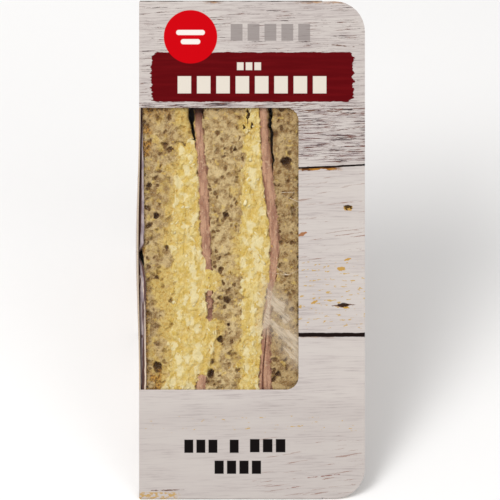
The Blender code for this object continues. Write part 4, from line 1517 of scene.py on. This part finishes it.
def printed(card, wood):
    """Everything printed over the boards."""
    brushing = card.ramp(card.stretched(16.0, 1.4, shift=101.0), 0.4, 0.7)
    art = card.ink(wood, card.blend(linear(92, 4, 10), linear(102, 8, 14), brushing), brushed_band(card))
    for *row, colour, cover in BLOCK_ROWS:
        art = card.ink(art, colour, blocks(card, *row), cover)
    from_middle = (card.minus(card.u, SEAL_MIDDLE[0]), card.minus(card.v, SEAL_MIDDLE[1]))
    art = card.ink(art, linear(200, 0, 12), card.minus(card.length(*from_middle), SEAL_RADIUS))
    for level, half in SEAL_BARS:
        bar = card.box((SEAL_MIDDLE[0], level), (half, BAR_HALF), BAR_HALF)
        art = card.ink(art, linear(238, 230, 224), bar)
    return art


# %% [markdown]
# The card itself is matt, with a slight tooth. Inside, and on its cut edges, it is plain board.

# %% Card
def card_finish():
    card = Print("printed_card")
    wood, depth = boards(card)
    card.colour(printed(card, marked(card, wood)))
    paper = card.noise(card.object_place(), 2600.0, 2.0)
    card.bump(card.minus(card.times(paper, 0.5), card.times(depth, 0.2)), 0.00004, 0.35)
    return card.material


def plain_finish(name, colour, scale):
    """Unprinted board: one tone with fibres."""
    board = Finish(name, roughness=0.85, specular=0.2)
    fibres = board.noise(board.object_place(), scale, 4.0, 0.65)
    darker = [c * 0.82 for c in colour[:3]] + [1.0]
    board.colour(board.blend(colour, darker, board.ramp(fibres, 0.4, 0.65)))
    board.bump(fibres, 0.0001, 0.3)
    return board.material


carton = make_carton()
card_material = card_finish()
dress(carton, "printed_card", card_material, plain_finish("inner_board", linear(196, 184, 172), 900.0),
      plain_finish("cut_edge", linear(204, 184, 162), 3000.0))
wall = carton.modifiers.new("board", "SOLIDIFY")
wall.thickness = BOARD
wall.offset = -1.0
wall.material_offset = 1
wall.material_offset_rim = 2
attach(carton, "root")
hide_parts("carton")

# %% [markdown]
# ## Floor and light
#
# The pack stands on a plain pale floor that runs out of view, as on a photographer's table. The light is
# soft and comes from the viewer's side, because the window is meant to be looked into: one large panel
# above on the left, a weaker one on the right, and an even pale surround.

# %% Studio
FLOOR_HALF = 2.0
FLOOR_HEIGHT = -0.0002
LIGHTS = (  # name, then u, v and d of its place, the length of its side and its power
    ("key", -0.55, 0.60, -0.85, 0.6, 7.5),
    ("fill", 0.80, 0.10, -0.80, 0.8, 2.4),
)
SURROUND = 0.56  # strength of the white surround


def make_floor():
    """A flat square just under the pack's base."""
    corners = FLOOR_HALF * np.array([(-1, -1), (1, -1), (1, 1), (-1, 1)])
    points = np.concatenate([corners, np.full((4, 1), FLOOR_HEIGHT)], axis=1)
    made = build("floor", points, np.array([[0, 1, 2, 3]]), solid=False)
    pale = Finish("pale_floor", roughness=0.9, specular=0.1)
    pale.shader.inputs["Base Color"].default_value = linear(252, 251, 250)
    made.data.materials.append(pale.material)


def panel_light(name, u, v, d, size, power):
    """A square light at a place in front of the panel, turned to face the window's middle."""
    data = bpy.data.lights.new(name, "AREA")
    data.size = size
    data.energy = power
    made = bpy.data.objects.new(name, data)
    bpy.context.scene.collection.objects.link(made)
    here = Vector(place(u, v, d))
    made.location = here
    made.rotation_euler = (Vector(place(*VIEW_MIDDLE, 0.0)) - here).to_track_quat("-Z", "Y").to_euler()


make_floor()
for light in LIGHTS:
    panel_light(*light)
world = bpy.data.worlds.new("surround")
world.use_nodes = True
world.node_tree.nodes["Background"].inputs["Color"].default_value = (1.0, 1.0, 1.0, 1.0)
world.node_tree.nodes["Background"].inputs["Strength"].default_value = SURROUND
bpy.context.scene.world = world
print("lights:", ", ".join(light[0] for light in LIGHTS))
